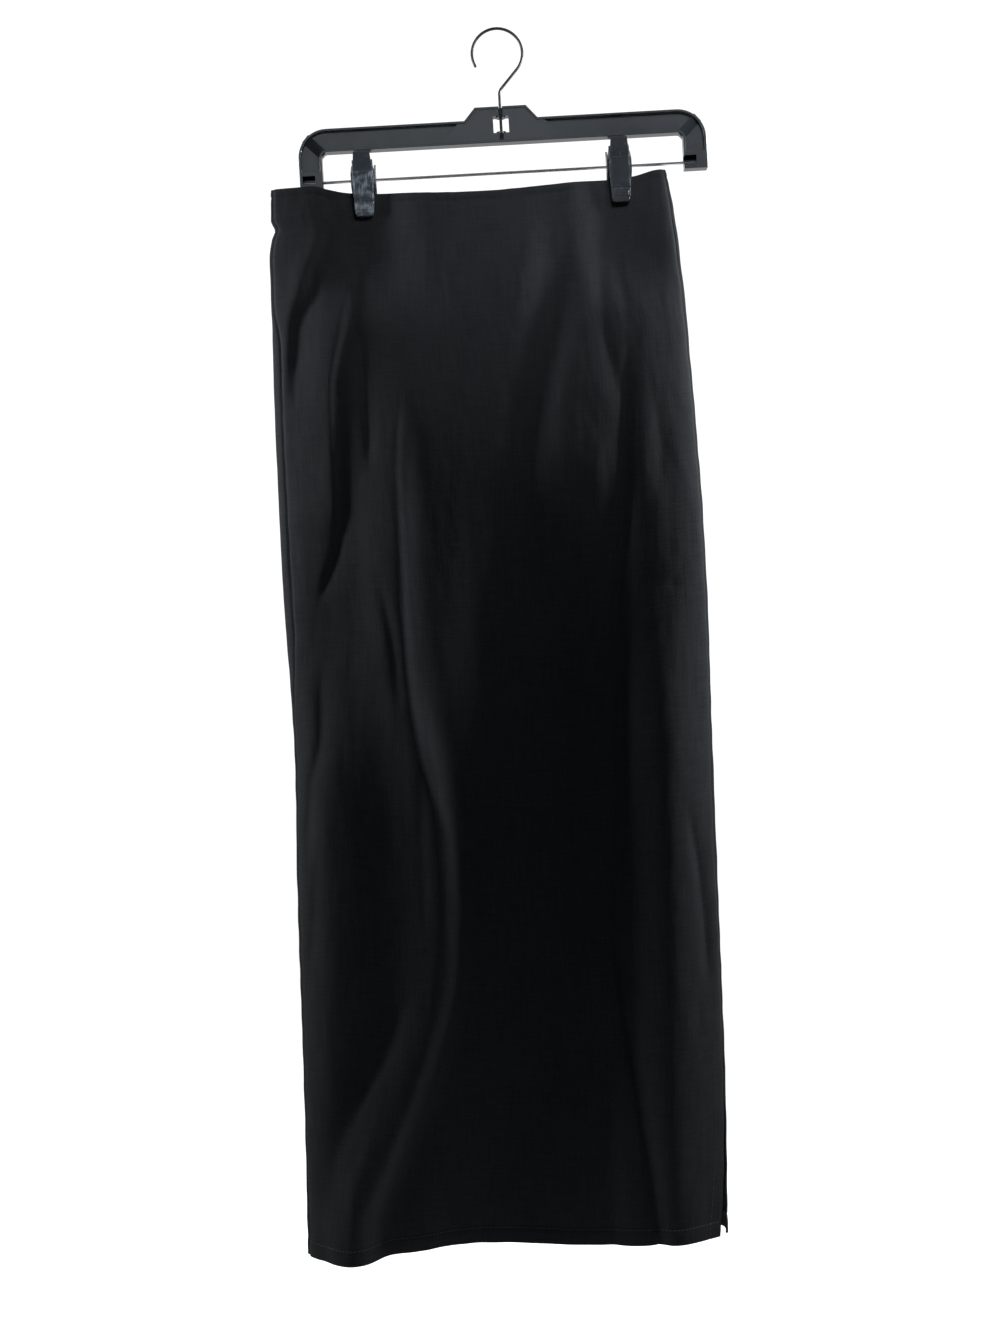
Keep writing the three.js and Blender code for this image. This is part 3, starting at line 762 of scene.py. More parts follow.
# The finer creases, which lie on the folds.
FRONT_CREASES = (
    Crease(
        "left_clip_groove", -2.2, 2.6, 8,
        ((164, -124), (198, -130), (252, -140), (312, -154), (404, -155), (434, -158), (490, -178)), 20,
    ),
    Crease(
        "left_clip_crest", 2.6, 22, 3.0,
        ((170, -130), (198, -136), (252, -146), (312, -160), (404, -161), (434, -164)), 26,
    ),
    Crease(
        "left_soft_step", -2.6, 5, 13,
        ((168, -146), (184, -156), (207, -168), (226, -173), (252, -186), (318, -192)), 30,
    ),
    Crease("left_soft_crest", 1.8, 14, 5, ((172, -162), (207, -178), (252, -194), (310, -200)), 30),
    Crease("short_dart", -2.0, 2.6, 7, ((262, -133), (313, -130), (378, -129)), 30),
    Crease(
        "long_step_upper", -2.2, 3, 11,
        ((322, -96), (391, -102), (540, -101), (622, -94), (700, -72)), 50,
    ),
    Crease(
        "long_step", -7.5, 13, 44,
        (
            (600, -84), (655, -66), (705, -58), (750, -56), (799, -59), (845, -68), (907, -93),
            (999, -138), (1040, -153),
        ),
        80,
    ),
    Crease(
        "long_crest", 2.0, 20, 5.0,
        (
            (580, -104), (655, -86), (705, -79), (750, -77), (799, -80), (845, -89), (907, -115),
            (999, -158),
        ),
        60,
    ),
    Crease("beside_long_ridge", -0.8, 5, 5, ((640, -99), (714, -101), (801, -104)), 50),
    Crease("upper_left_line", -1.6, 3.0, 5, ((485, -125), (520, -119), (585, -114)), 30),
    Crease(
        "lower_left_trough", -3.6, 16, 9,
        ((835, -124), (887, -148), (931, -173), (965, -190), (1020, -205)), 50,
    ),
    Crease("left_edge_dent", -2.8, 5, 8, ((550, -181), (603, -183), (649, -194), (720, -203)), 40),
    Crease("left_edge_dent_lower", -1.8, 6, 6, ((700, -190), (760, -198), (820, -206)), 36),
    Crease(
        "right_long_line", -3.2, 3.0, 9,
        (
            (292, 97), (402, 87), (448, 84), (503, 78), (635, 72), (705, 66), (793, 60), (845, 62),
            (934, 71), (1045, 80),
        ),
        50,
    ),
    Crease(
        "right_long_crest", 1.8, 6, 12,
        ((300, 106), (448, 94), (635, 82), (793, 71), (934, 81), (1045, 91)), 50,
    ),
    Crease("right_upper_soft", -1.6, 7, 8, ((170, 82), (248, 78), (300, 83), (336, 93)), 40),
    Crease("right_clip_line", -1.6, 7, 6, ((160, 92), (205, 95), (262, 99)), 30),
    Crease("right_tick", -1.3, 3, 4, ((500, 75), (530, 68), (562, 60)), 22),
    Crease("right_band", -1.6, 10, 10, ((320, 118), (370, 121), (415, 119)), 40),
    Crease("right_edge_line", -2.4, 4, 5, ((690, 127), (734, 132), (776, 135), (840, 137)), 36),
    Crease("right_press_line", -0.9, 1.4, 1.4, ((488, 86), (493, 120), (498, 152)), 12, Run.ACROSS),
    Crease("lower_right_step", -3.4, 18, 7, ((850, 40), (950, 44), (1060, 42)), 60),
    Crease("hem_left_break", 2.6, 10, 14, ((930, -150), (1000, -176), (1060, -182)), 60),
    Crease("hem_middle_lift", 1.8, 16, 14, ((960, -112), (1060, -120)), 50),
    Crease("hem_middle_dip", -1.6, 18, 16, ((900, -20), (1060, -6)), 60),
    Crease("middle_faint_ridge", 1.4, 20, 26, ((420, -40), (600, -30), (820, -22), (960, -60)), 80),
    Crease("middle_faint_hollow", -1.4, 14, 12, ((470, 30), (600, 26), (760, 20), (900, 22)), 80),
    Crease("waist_left_slack", -1.2, 12, 16, ((150, -92), (200, -84), (262, -78)), 40),
    Crease("waist_right_slack", 1.2, 14, 16, ((150, 26), (210, 14), (290, 0)), 50),
)
BACK_CREASES = (
    Crease("back_clip_line_left", -2.2, 8, 6, ((172, -116), (240, -104), (330, -92), (430, -90))),
    Crease("back_clip_line_right", -2.0, 6, 8, ((172, 96), (250, 86), (340, 80), (450, 82))),
    Crease("back_clip_crest_right", 2.0, 10, 7, ((176, 112), (280, 130), (380, 138))),
    Crease("back_long_line", -2.4, 7, 10, ((420, -30), (560, -24), (720, -34), (900, -46), (1060, -58))),
    Crease("back_left_line", -2.0, 6, 8, ((560, -150), (700, -158), (860, -152), (1000, -168))),
    Crease("back_right_line", -2.2, 8, 6, ((520, 116), (680, 108), (850, 112), (1060, 104))),
    Crease("back_short_line", -1.5, 6, 6, ((300, -20), (350, -26), (410, -28)), 30),
    Crease("back_low_ridge", 2.2, 16, 12, ((820, 40), (930, 34), (1060, 30))),
    Crease("back_low_trough", -2.6, 12, 16, ((840, -84), (940, -88), (1060, -96))),
    Crease("back_press_line", -0.7, 1.6, 1.8, ((494, 60), (497, 20), (495, -30)), 14, Run.ACROSS),
    Crease("back_waist_slack", -1.3, 16, 14, ((150, -30), (220, -20), (300, -16)), 40),
)


@dataclass
class SkirtForm:
    """The surface of the hanging skirt, worked out from its sections, its clips and its folds.

    Attributes:
        top: The drop at which the sections start, just above the waist.
        hem: The hem's drop.
        blunt: The power that squares off the loop at the side edges.
        inner_gap: The air between front and back where the jaws pinch them.
        wall: The wall of the frame's cloth solids.
        clips: The clips' places along X.
        pinch_half: Half the width over which the cloth is pressed together at the jaws.
        pinch_power: How squarely that width ends.
        held_to: The drop to which the pinch holds.
        free_at: The drop at which the pinch has died out.
        slit_top: The drop at which the right side seam ends and the slit starts.
    """

    top: float = 128.0
    hem: float = 1053.0
    blunt: float = 3.0
    inner_gap: float = 0.4
    wall: float = 1.7
    clips: tuple[float, ...] = CLIP_PLACES
    pinch_half: float = 31.0
    pinch_power: float = 3.0
    held_to: float = 172.0
    free_at: float = 260.0
    slit_top: float = 875.0

    def section(self, column: str, drop: np.ndarray) -> np.ndarray:
        """Read one column of the sections at some drops."""
        place = SECTION_COLUMNS.index(column)
        return smooth_table([row[0] for row in SECTIONS], [row[place] for row in SECTIONS], drop)

    def seam(self, column: str, drop: np.ndarray) -> np.ndarray:
        """Read one column of the seams at some drops."""
        place = SEAM_COLUMNS.index(column)
        return smooth_table([row[0] for row in SEAMS], [row[place] for row in SEAMS], drop)

    def waist_drop(self, x: np.ndarray) -> np.ndarray:
        """Read the drop of the waist's top edge at some places along X."""
        return smooth_table([row[0] for row in WAIST_EDGE], [row[1] for row in WAIST_EDGE], x)

    def pinch(self, x: np.ndarray, drop: np.ndarray) -> np.ndarray:
        """Read how far the jaws press front and back together, from 0 to 1."""
        held = 1 - smoothstep(self.held_to, self.free_at, drop)
        spread = self.pinch_half * (1.5 - 0.5 * held)
        near = [np.exp(-(np.abs((x - clip) / spread) ** self.pinch_power)) for clip in self.clips]
        return held * np.maximum(*near)

    def loop(self, side: Side, angle: np.ndarray, drop: np.ndarray, inset: float = 0.0) -> np.ndarray:
        """Find points of the skirt's loop.

        The angle is 0 at the right side edge, a quarter turn at the middle of the front, a half
        turn at the left side edge, and less than 0 on the back.

        Args:
            side: The panel whose creases lie on the points.
            angle: Each point's angle, in radians.
            drop: Each point's drop.
            inset: How far inside the outer face the points lie.

        Returns:
            An array of x, y and z for each point, in millimetres.
        """
        left = self.section("left", drop) + inset
        right = self.section("right", drop) - inset
        across = np.cos(angle)
        x = (left + right) / 2 + (right - left) / 2 * across
        in_front = np.sin(angle) >= 0
        blend = (across + 1) / 2
        left_y, right_y = -self.section("left_forward", drop), -self.section("right_forward", drop)
        chord = left_y * (1 - blend) + right_y * blend
        rounded = np.maximum(1 - np.abs(across) ** self.blunt, 0) ** (1 / self.blunt)
        open_share = 1 - self.pinch(x, drop)
        least = self.inner_gap + self.wall
        full = np.where(in_front, self.section("front", drop), self.section("back", drop))
        folds, creases = (FRONT_FOLDS, FRONT_CREASES) if side is Side.FRONT else (BACK_FOLDS, BACK_CREASES)
        folded = sum(fold.height(x, drop, self.hem) for fold in folds)
        folded = folded + sum(crease.height(x, drop, self.hem) for crease in creases)
        from_edge = smoothstep(0.15, 0.75, rounded)
        depth = (least + (full - least) * open_share - inset) * rounded + folded * open_share * from_edge
        y = chord + np.where(in_front, -1.0, 1.0) * depth
        return np.stack([x, y, -drop], axis=-1)

    def edge_angle(self, drop: np.ndarray, distance: np.ndarray) -> np.ndarray:
        """Turn a distance in from a side edge to the loop's angle from that edge."""
        half = (self.section("right", drop) - self.section("left", drop)) / 2
        return np.arccos(1 - distance / half)

    def span(self, side: Side, drop: np.ndarray) -> tuple[np.ndarray, np.ndarray]:
        """Find the angles at which a panel starts, on the right, and ends, on the left."""
        right_seam = self.seam("right_front" if side is Side.FRONT else "right_back", drop)
        start = self.edge_angle(drop, right_seam)
        end = np.pi - self.edge_angle(drop, self.seam("left", drop))
        return (start, end) if side is Side.FRONT else (start, end - 2 * np.pi)


def cloth_distances(grid: np.ndarray) -> tuple[np.ndarray, np.ndarray]:
    """Measure each point's distance along its row and down its column of a grid.

    Args:
        grid: The points, row by row.

    Returns:
        The distances across and the distances down.
    """
    across = np.linalg.norm(np.diff(grid, axis=1), axis=-1)
    down = np.linalg.norm(np.diff(grid, axis=0), axis=-1)
    return np.pad(across.cumsum(axis=1), ((0, 0), (1, 0))), np.pad(down.cumsum(axis=0), ((1, 0), (0, 0)))


def read_lines(at: float, distances: np.ndarray, runs: np.ndarray) -> np.ndarray:
    """Read each of several runs of values at the same distance along it.

    Args:
        at: The distance.
        distances: For each run, the distances of its values, rising.
        runs: The runs, each a row of values for each distance.

    Returns:
        One row of values for each run.
    """
    pairs = zip(distances, runs)
    return np.array([[np.interp(at, away, column) for column in run.T] for away, run in pairs])


def thin_sheet(
    grid: np.ndarray,
    side: Side,
    thickness: float,
    flat: tuple[np.ndarray, np.ndarray],
    quality: bool = False,
) -> bpy.types.Object:
    """Make a thin sheet from a grid of points in millimetres.

    Its map is in metres along the cloth, which the weave follows.

    Args:
        grid: The outer face's points, row by row from one long edge to the other.
        side: The panel that it lies in.
        thickness: How thick it is.
        flat: Each point's distance across and down the cloth.
        quality: True to thicken it along normals that are worked out more exactly.

    Returns:
        The sheet.
    """
    rows, columns = grid.shape[:2]
    numbers = np.arange(rows * columns).reshape(rows, columns)
    corners = [numbers[:-1, :-1], numbers[:-1, 1:], numbers[1:, 1:], numbers[1:, :-1]]
    faces = np.stack(corners, axis=-1).reshape(-1, 4)
    points = grid.reshape(-1, 3)
    first, second, _, fourth = (points[faces[:, corner]] for corner in range(4))
    if np.cross(second - first, fourth - first)[:, 1].mean() * side.value < 0:
        faces = faces[:, ::-1]
    mesh = bpy.data.meshes.new("cloth")
    mesh.from_pydata((points * MM).tolist(), [], faces.tolist())
    corner_points = np.empty(len(mesh.loops), np.int32)
    mesh.loops.foreach_get("vertex_index", corner_points)
    places = (np.stack([part.ravel() for part in flat], axis=-1) * MM)[corner_points]
    mesh.uv_layers.new(name="cloth").data.foreach_set("uv", places.astype(np.float32).ravel())
    sheet = new_object(mesh)
    shell = {"thickness": thickness * MM, "offset": -1.0, "use_even_offset": True}
    apply_modifier(sheet, "SOLIDIFY", **shell, use_quality_normals=quality)
    bpy.ops.object.shade_smooth_by_angle(angle=math.radians(60))
    return sheet


@dataclass
class PanelCut:
    """How finely one panel is drawn, and the small sewn relief on it.

    Attributes:
        columns: Steps across the panel.
        spaced_at: The drop at which the columns are evenly spaced.
        edge_shares: Where the close columns at each side edge lie, as shares of the width.
        inset: How far inside the solids' outer face the cloth lies.
        thickness: The cloth's own thickness.
        strip_thickness: The thickness of the turned-in edges.
        strip_gap: The air between those and the panel.
        casing: The depth of the turned waist edge.
        elastic: The depth of the elastic inside the waist.
        hem_depth: The depth of the turned-up hem.
        seam_sink: How far the side seams pull in.
        seam_width: The half-width of that pull.
        crinkle: The height of the cloth's fine, uneven crinkle.
        crinkles: For each size of crinkle, its width, its length and its share.
        row_steps: Shares of the way from waist to hem, with the rows up to each.
    """

    columns: int = 214
    spaced_at: float = 700.0
    edge_shares: tuple[float, ...] = (0.0015, 0.003, 0.0045, 0.006)
    inset: float = 0.25
    thickness: float = 0.8
    strip_thickness: float = 0.55
    strip_gap: float = 0.12
    casing: float = 7.0
    elastic: float = 38.0
    hem_depth: float = 14.5
    seam_sink: float = 0.9
    seam_width: float = 1.6
    crinkle: float = 0.42
    crinkles: tuple[tuple[float, float, float], ...] = (
        (34.0, 120.0, 1.7), (15.0, 46.0, 0.9), (6.5, 16.0, 0.42),
    )
    row_steps: tuple[tuple[float, int], ...] = (
        (0.0, 0), (0.009, 5), (0.05, 12), (0.982, 166), (1.0, 7),
    )

    def fractions(self) -> np.ndarray:
        """List the rows as shares of the way from waist to hem, closer at both ends."""
        rows = [0.0]
        for (start, _), (end, count) in zip(self.row_steps, self.row_steps[1:]):
            rows.extend(np.linspace(start, end, count + 1)[1:])
        return np.array(rows)


@dataclass
class SkirtPanel:
    """One cut panel: a thin shell on its solid's form, with its creases and sewn relief."""

    side: Side
    form: SkirtForm
    cut: PanelCut
    points: np.ndarray = field(init=False)
    normals: np.ndarray = field(init=False)
    from_waist: np.ndarray = field(init=False)
    from_hem: np.ndarray = field(init=False)

    def even_shares(self) -> np.ndarray:
        """Spread the columns evenly along the cloth, with a few close to each side edge.

        Returns:
            Shares of the panel's angle span, from 0 to 1.
        """
        share = np.linspace(0, 1, 2001)
        drop = np.full_like(share, self.cut.spaced_at)
        start, end = self.form.span(self.side, drop)
        line = self.form.loop(self.side, start + (end - start) * share, drop)
        length = np.concatenate([[0], np.cumsum(np.linalg.norm(np.diff(line, axis=0), axis=1))])
        edge = length[-1] * np.array(self.cut.edge_shares)
        even = np.linspace(0, length[-1], self.cut.columns + 1 - 2 * len(edge))
        spread = np.sort(np.concatenate([even, edge, length[-1] - edge]))
        return np.interp(spread, length, share)

    def lay_out(self) -> None:
        """Work out the outer face's points, and its distances from waist and hem."""
        shares = self.even_shares()
        fractions = self.cut.fractions()
        guess = self.form.top + fractions * (self.form.hem - self.form.top)
        start, end = self.form.span(self.side, guess)
        angle = start[:, None] + (end - start)[:, None] * shares[None, :]
        level = np.broadcast_to(guess[:, None], angle.shape)
        x = self.form.loop(self.side, angle, level)[..., 0]
        waist = self.form.waist_drop(x)
        drop = waist + fractions[:, None] * (self.form.hem - waist)
        self.points = self.form.loop(self.side, angle, drop, self.cut.inset)
        self.from_waist = drop - waist
        self.from_hem = self.form.hem - drop
        self.normals = self.face_normals()

    def face_normals(self) -> np.ndarray:
        """Find the outward normal at each point of the grid."""
        across = np.gradient(self.points, axis=1)
        down = np.gradient(self.points, axis=0)
        normal = np.cross(across, down)
        normal /= np.linalg.norm(normal, axis=-1, keepdims=True)
        middle = normal.shape[1] // 2
        return normal * np.sign(normal[:, middle, 1].mean()) * self.side.value

    def along_cloth(self) -> tuple[np.ndarray, np.ndarray]:
        """Measure each point's distance across and down the cloth, along the surface."""
        u, v = cloth_distances(self.points)
        return u - u[:, -1:] / 2, v

    def waist_relief(self, u: np.ndarray) -> np.ndarray:
        """Read the casing's swell and stitch line, the elastic's lower edge and the puckers."""
        cut, away = self.cut, self.from_waist
        lift = 0.35 * bump_curve(away - cut.casing / 2, 2.6) - 0.45 * bump_curve(away - cut.casing, 1.3)
        faint = 0.4 + 0.6 * bump_curve(u - 12 * self.side.value, 40)
        lift -= 0.28 * faint * bump_curve(away - cut.elastic, 2.2)
        pucker = uneven_wave(u, 2.9, 1.3, 23) * np.sin(u / 17 + 0.8)
        return lift + 0.16 * pucker * (1 - smoothstep(6, 30, away))

    def hem_relief(self, u: np.ndarray) -> np.ndarray:
        """Read the hem's stitch line, the swell of its turn-up and its ripple."""
        cut, away = self.cut, self.from_hem
        lift = 0.30 * bump_curve(away - cut.hem_depth / 2, 5.0)
        lift -= 0.45 * bump_curve(away - cut.hem_depth, 1.4)
        ripple = uneven_wave(u, 6.1, 2.0, 31) * np.sin(u / 43 + 1.1)
        return lift + 0.35 * ripple * (1 - smoothstep(10, 34, away))

    def seam_relief(self, u: np.ndarray, v: np.ndarray) -> np.ndarray:
        """Read how the side seams pull the cloth in and pucker it, but not along the slit."""
        slit_top = self.form.slit_top
        lift = np.zeros_like(u)
        for column in (0, -1):
            away = np.abs(u - u[:, [column]])
            sewn = 1.0 if column else 1 - smoothstep(slit_top - 10, slit_top + 20, -self.points[..., 2])
            lift -= self.cut.seam_sink * sewn * bump_curve(away, self.cut.seam_width)
            lift += 0.22 * uneven_wave(v, 5.2, 1.7, 37) * bump_curve(away, 9.0)
        return lift

    def sew(self) -> None:
        """Lift and sink the cloth at its waist, hem and side seams, and crinkle it."""
        u, v = self.along_cloth()
        lift = self.waist_relief(u) + self.hem_relief(u) + self.seam_relief(u, v)
        lift += self.cut.crinkle * self.crinkles(u, v)
        open_share = 1 - self.form.pinch(self.points[..., 0], -self.points[..., 2])
        calm = 0.12 + 0.88 * open_share
        self.points = self.points + self.normals * (lift * calm)[..., None]

    def crinkles(self, u: np.ndarray, v: np.ndarray) -> np.ndarray:
        """Add up uneven crinkles of three sizes, longer down the cloth than across.

        Args:
            u: Distances across the cloth.
            v: Distances down the cloth.

        Returns:
            The crinkle's height at each point, about -1 to 1.
        """
        total = np.zeros_like(u)
        seat = 11.0 if self.side is Side.FRONT else 47.0
        for width, length, share in self.cut.crinkles:
            flat = zip((u / width).ravel(), (v / length).ravel())
            values = [noise.noise((a, b, seat)) for a, b in flat]
            total += share * np.array(values).reshape(u.shape)
        return total

    def build(self, material: bpy.types.Material) -> bpy.types.Object:
        """Args:
            material: The cloth's finish.

        Returns:
            The panel.
        """
        self.lay_out()
        self.sew()
        word = self.side.name.lower()
        sheet = thin_sheet(self.points, self.side, self.cut.thickness, self.along_cloth(), quality=True)
        return hand_over(sheet, f"{word}_panel", material, Slot.CLOTH, f"skirt_{word}")

    def skin(self) -> np.ndarray:
        """Put each point of the grid and its outward normal side by side."""
        return np.concatenate([self.points, self.normals], axis=-1)

    def strip_line(self, distance: float, from_hem: bool) -> np.ndarray:
        """Find a line across the panel at a distance from its waist or its hem.

        Args:
            distance: The distance.
            from_hem: True to measure from the hem, False from the waist.

        Returns:
            The points of the line and their outward normals side by side, one row each.
        """
        away, skin = self.from_waist, self.skin()
        if from_hem:
            away, skin = self.from_hem[::-1], skin[::-1]
        return read_lines(distance, away.T, skin.swapaxes(0, 1))

    def edge_line(self, distance: float, from_drop: float) -> np.ndarray:
        """Find a line down the panel's right edge, from a drop to the hem.

        Args:
            distance: How far in from the edge the line runs.
            from_drop: Where it starts.

        Returns:
            The points of the line and their outward normals side by side, one row each.
        """
        u, _ = self.along_cloth()
        below = -self.points[:, 0, 2] > from_drop
        return read_lines(distance, np.abs(u - u[:, [0]])[below], self.skin()[below])

    def turned_strip(
        self, name: str, from_hem: bool, levels: Sequence[float], material: bpy.types.Material
    ) -> bpy.types.Object:
        """Lay the turned-in edge of the cloth against the panel's inside.

        Args:
            name: The strip's name.
            from_hem: True for the hem's turn-up, False for the waist's turning.
            levels: Distances from that edge, in order.
            material: The cloth's finish.

        Returns:
            The strip.
        """
        cut = self.cut
        lines = np.stack([self.strip_line(level, from_hem) for level in levels])
        grid = lines[..., :3] - lines[..., 3:] * (cut.thickness + cut.strip_gap)
        sheet = thin_sheet(grid, self.side, cut.strip_thickness, cloth_distances(grid))
        return hand_over(sheet, name, material, Slot.CLOTH)


@dataclass(frozen=True)
class Stitches:
    """A row of lockstitches: each a short, fat thread that dips into the cloth at both ends."""

    length: float = 2.7
    pitch: float = 3.4
    width: float = 0.5
    height: float = 0.32
    sides: int = 6

    def spread(self, line: np.ndarray) -> np.ndarray:
        """Space stitches evenly along a line.

        Args:
            line: Points and normals side by side, one row each.

        Returns:
            For each stitch a start, an end and a normal, side by side.
        """
        steps = np.linalg.norm(np.diff(line[:, :3], axis=0), axis=1)
        length = np.concatenate([[0], np.cumsum(steps)])
        starts = np.arange(self.pitch, length[-1] - self.length - self.pitch / 2, self.pitch)
        ends = starts + self.length
        middles = (starts + ends) / 2
        start = np.stack([np.interp(starts, length, line[:, k]) for k in range(3)], axis=-1)
        end = np.stack([np.interp(ends, length, line[:, k]) for k in range(3)], axis=-1)
        normal = np.stack([np.interp(middles, length, line[:, k]) for k in range(3, 6)], axis=-1)
        return np.concatenate([start, end, normal], axis=-1)

    def build(
        self, lines: Sequence[np.ndarray], name: str, material: bpy.types.Material
    ) -> bpy.types.Object:
        """Sew one piece of thread from all the lines given.

        Args:
            lines: Lines of points and normals.
            name: The piece's name.
            material: The thread's finish.

        Returns:
            The stitches as one piece.
        """
        points: list[Vector] = []
        faces: list[tuple[int, ...]] = []
        profile = ((0.0, 0.35, -0.5), (0.18, 0.95, 0.35), (0.82, 0.95, 0.35), (1.0, 0.35, -0.5))
        turns = [2 * math.pi * side / self.sides for side in range(self.sides)]
        for stitch in np.concatenate([self.spread(line) for line in lines]):
            start, end, normal = Vector(stitch[:3]), Vector(stitch[3:6]), Vector(stitch[6:]).normalized()
            along = (end - start).normalized()
            beside = normal.cross(along).normalized()
            base = len(points)
            for share, size, rise in profile:
                middle = start.lerp(end, share) + normal * rise * self.height
                for turn in turns:
                    across = beside * math.cos(turn) * self.width
                    out = (across + normal * math.sin(turn) * self.height) / 2
                    points.append((middle + out * size) * MM)
            for ring in range(len(profile) - 1):
                for side in range(self.sides):
                    after = (side + 1) % self.sides
                    a, b = base + ring * self.sides + side, base + ring * self.sides + after
                    faces.append((a, b, b + self.sides, a + self.sides))
            last = base + (len(profile) - 1) * self.sides
            faces.append(tuple(base + side for side in reversed(range(self.sides))))
            faces.append(tuple(last + side for side in range(self.sides)))
        mesh = bpy.data.meshes.new(name)
        mesh.from_pydata(points, [], faces)
        thread = new_object(mesh)
        finish_mesh(thread, 60.0)
        return hand_over(thread, name, material, Slot.CLOTH)


@dataclass
class Skirt:
    """The whole skirt: two cut panels with their turned edges and their stitching.

    Attributes:
        form: The surface that both panels follow.
        cut: How the panels are drawn.
        stitches: The topstitching.
        hem_levels: The rows of the hem's turn-up, as distances from the hem.
        waist_levels: The rows of the waist's turning, as distances from the waist.
        hem_row: The height of the hem's row of stitches.
        slit_turning: How far the slit's row of stitches is from its edge.
        slit_row_below: How far below the slit's top that row starts.
    """

    form: SkirtForm = field(default_factory=SkirtForm)
    cut: PanelCut = field(default_factory=PanelCut)
    stitches: Stitches = field(default_factory=Stitches)
    hem_levels: tuple[float, ...] = (0.25, 2.0, 5.0, 8.5, 11.5, 13.6, 14.4)
    waist_levels: tuple[float, ...] = (0.25, 1.5, 4.0, 7.0, 12.0, 20.0, 30.0, 36.0, 37.6)
    hem_row: float = 12.9
    slit_turning: float = 11.0
    slit_row_below: float = 4.0

    def build(self, cloth: bpy.types.Material, thread: bpy.types.Material) -> None:
        """Args:
            cloth: The cloth's finish.
            thread: The thread's finish.
        """
        for side in Side:
            panel = SkirtPanel(side, self.form, self.cut)
            sheet = panel.build(cloth)
            word = side.name.lower()
            hem = panel.turned_strip(f"{word}_hem_turn_up", True, self.hem_levels, cloth)
            waist = panel.turned_strip(f"{word}_waist_turning", False, self.waist_levels, cloth)
            rows = [
                panel.strip_line(self.hem_row, True),
                panel.edge_line(self.slit_turning, self.form.slit_top + self.slit_row_below),
            ]
            sewn = self.stitches.build(rows, f"{word}_topstitching", thread)


# ------------------------------------------------------------------ the hanger


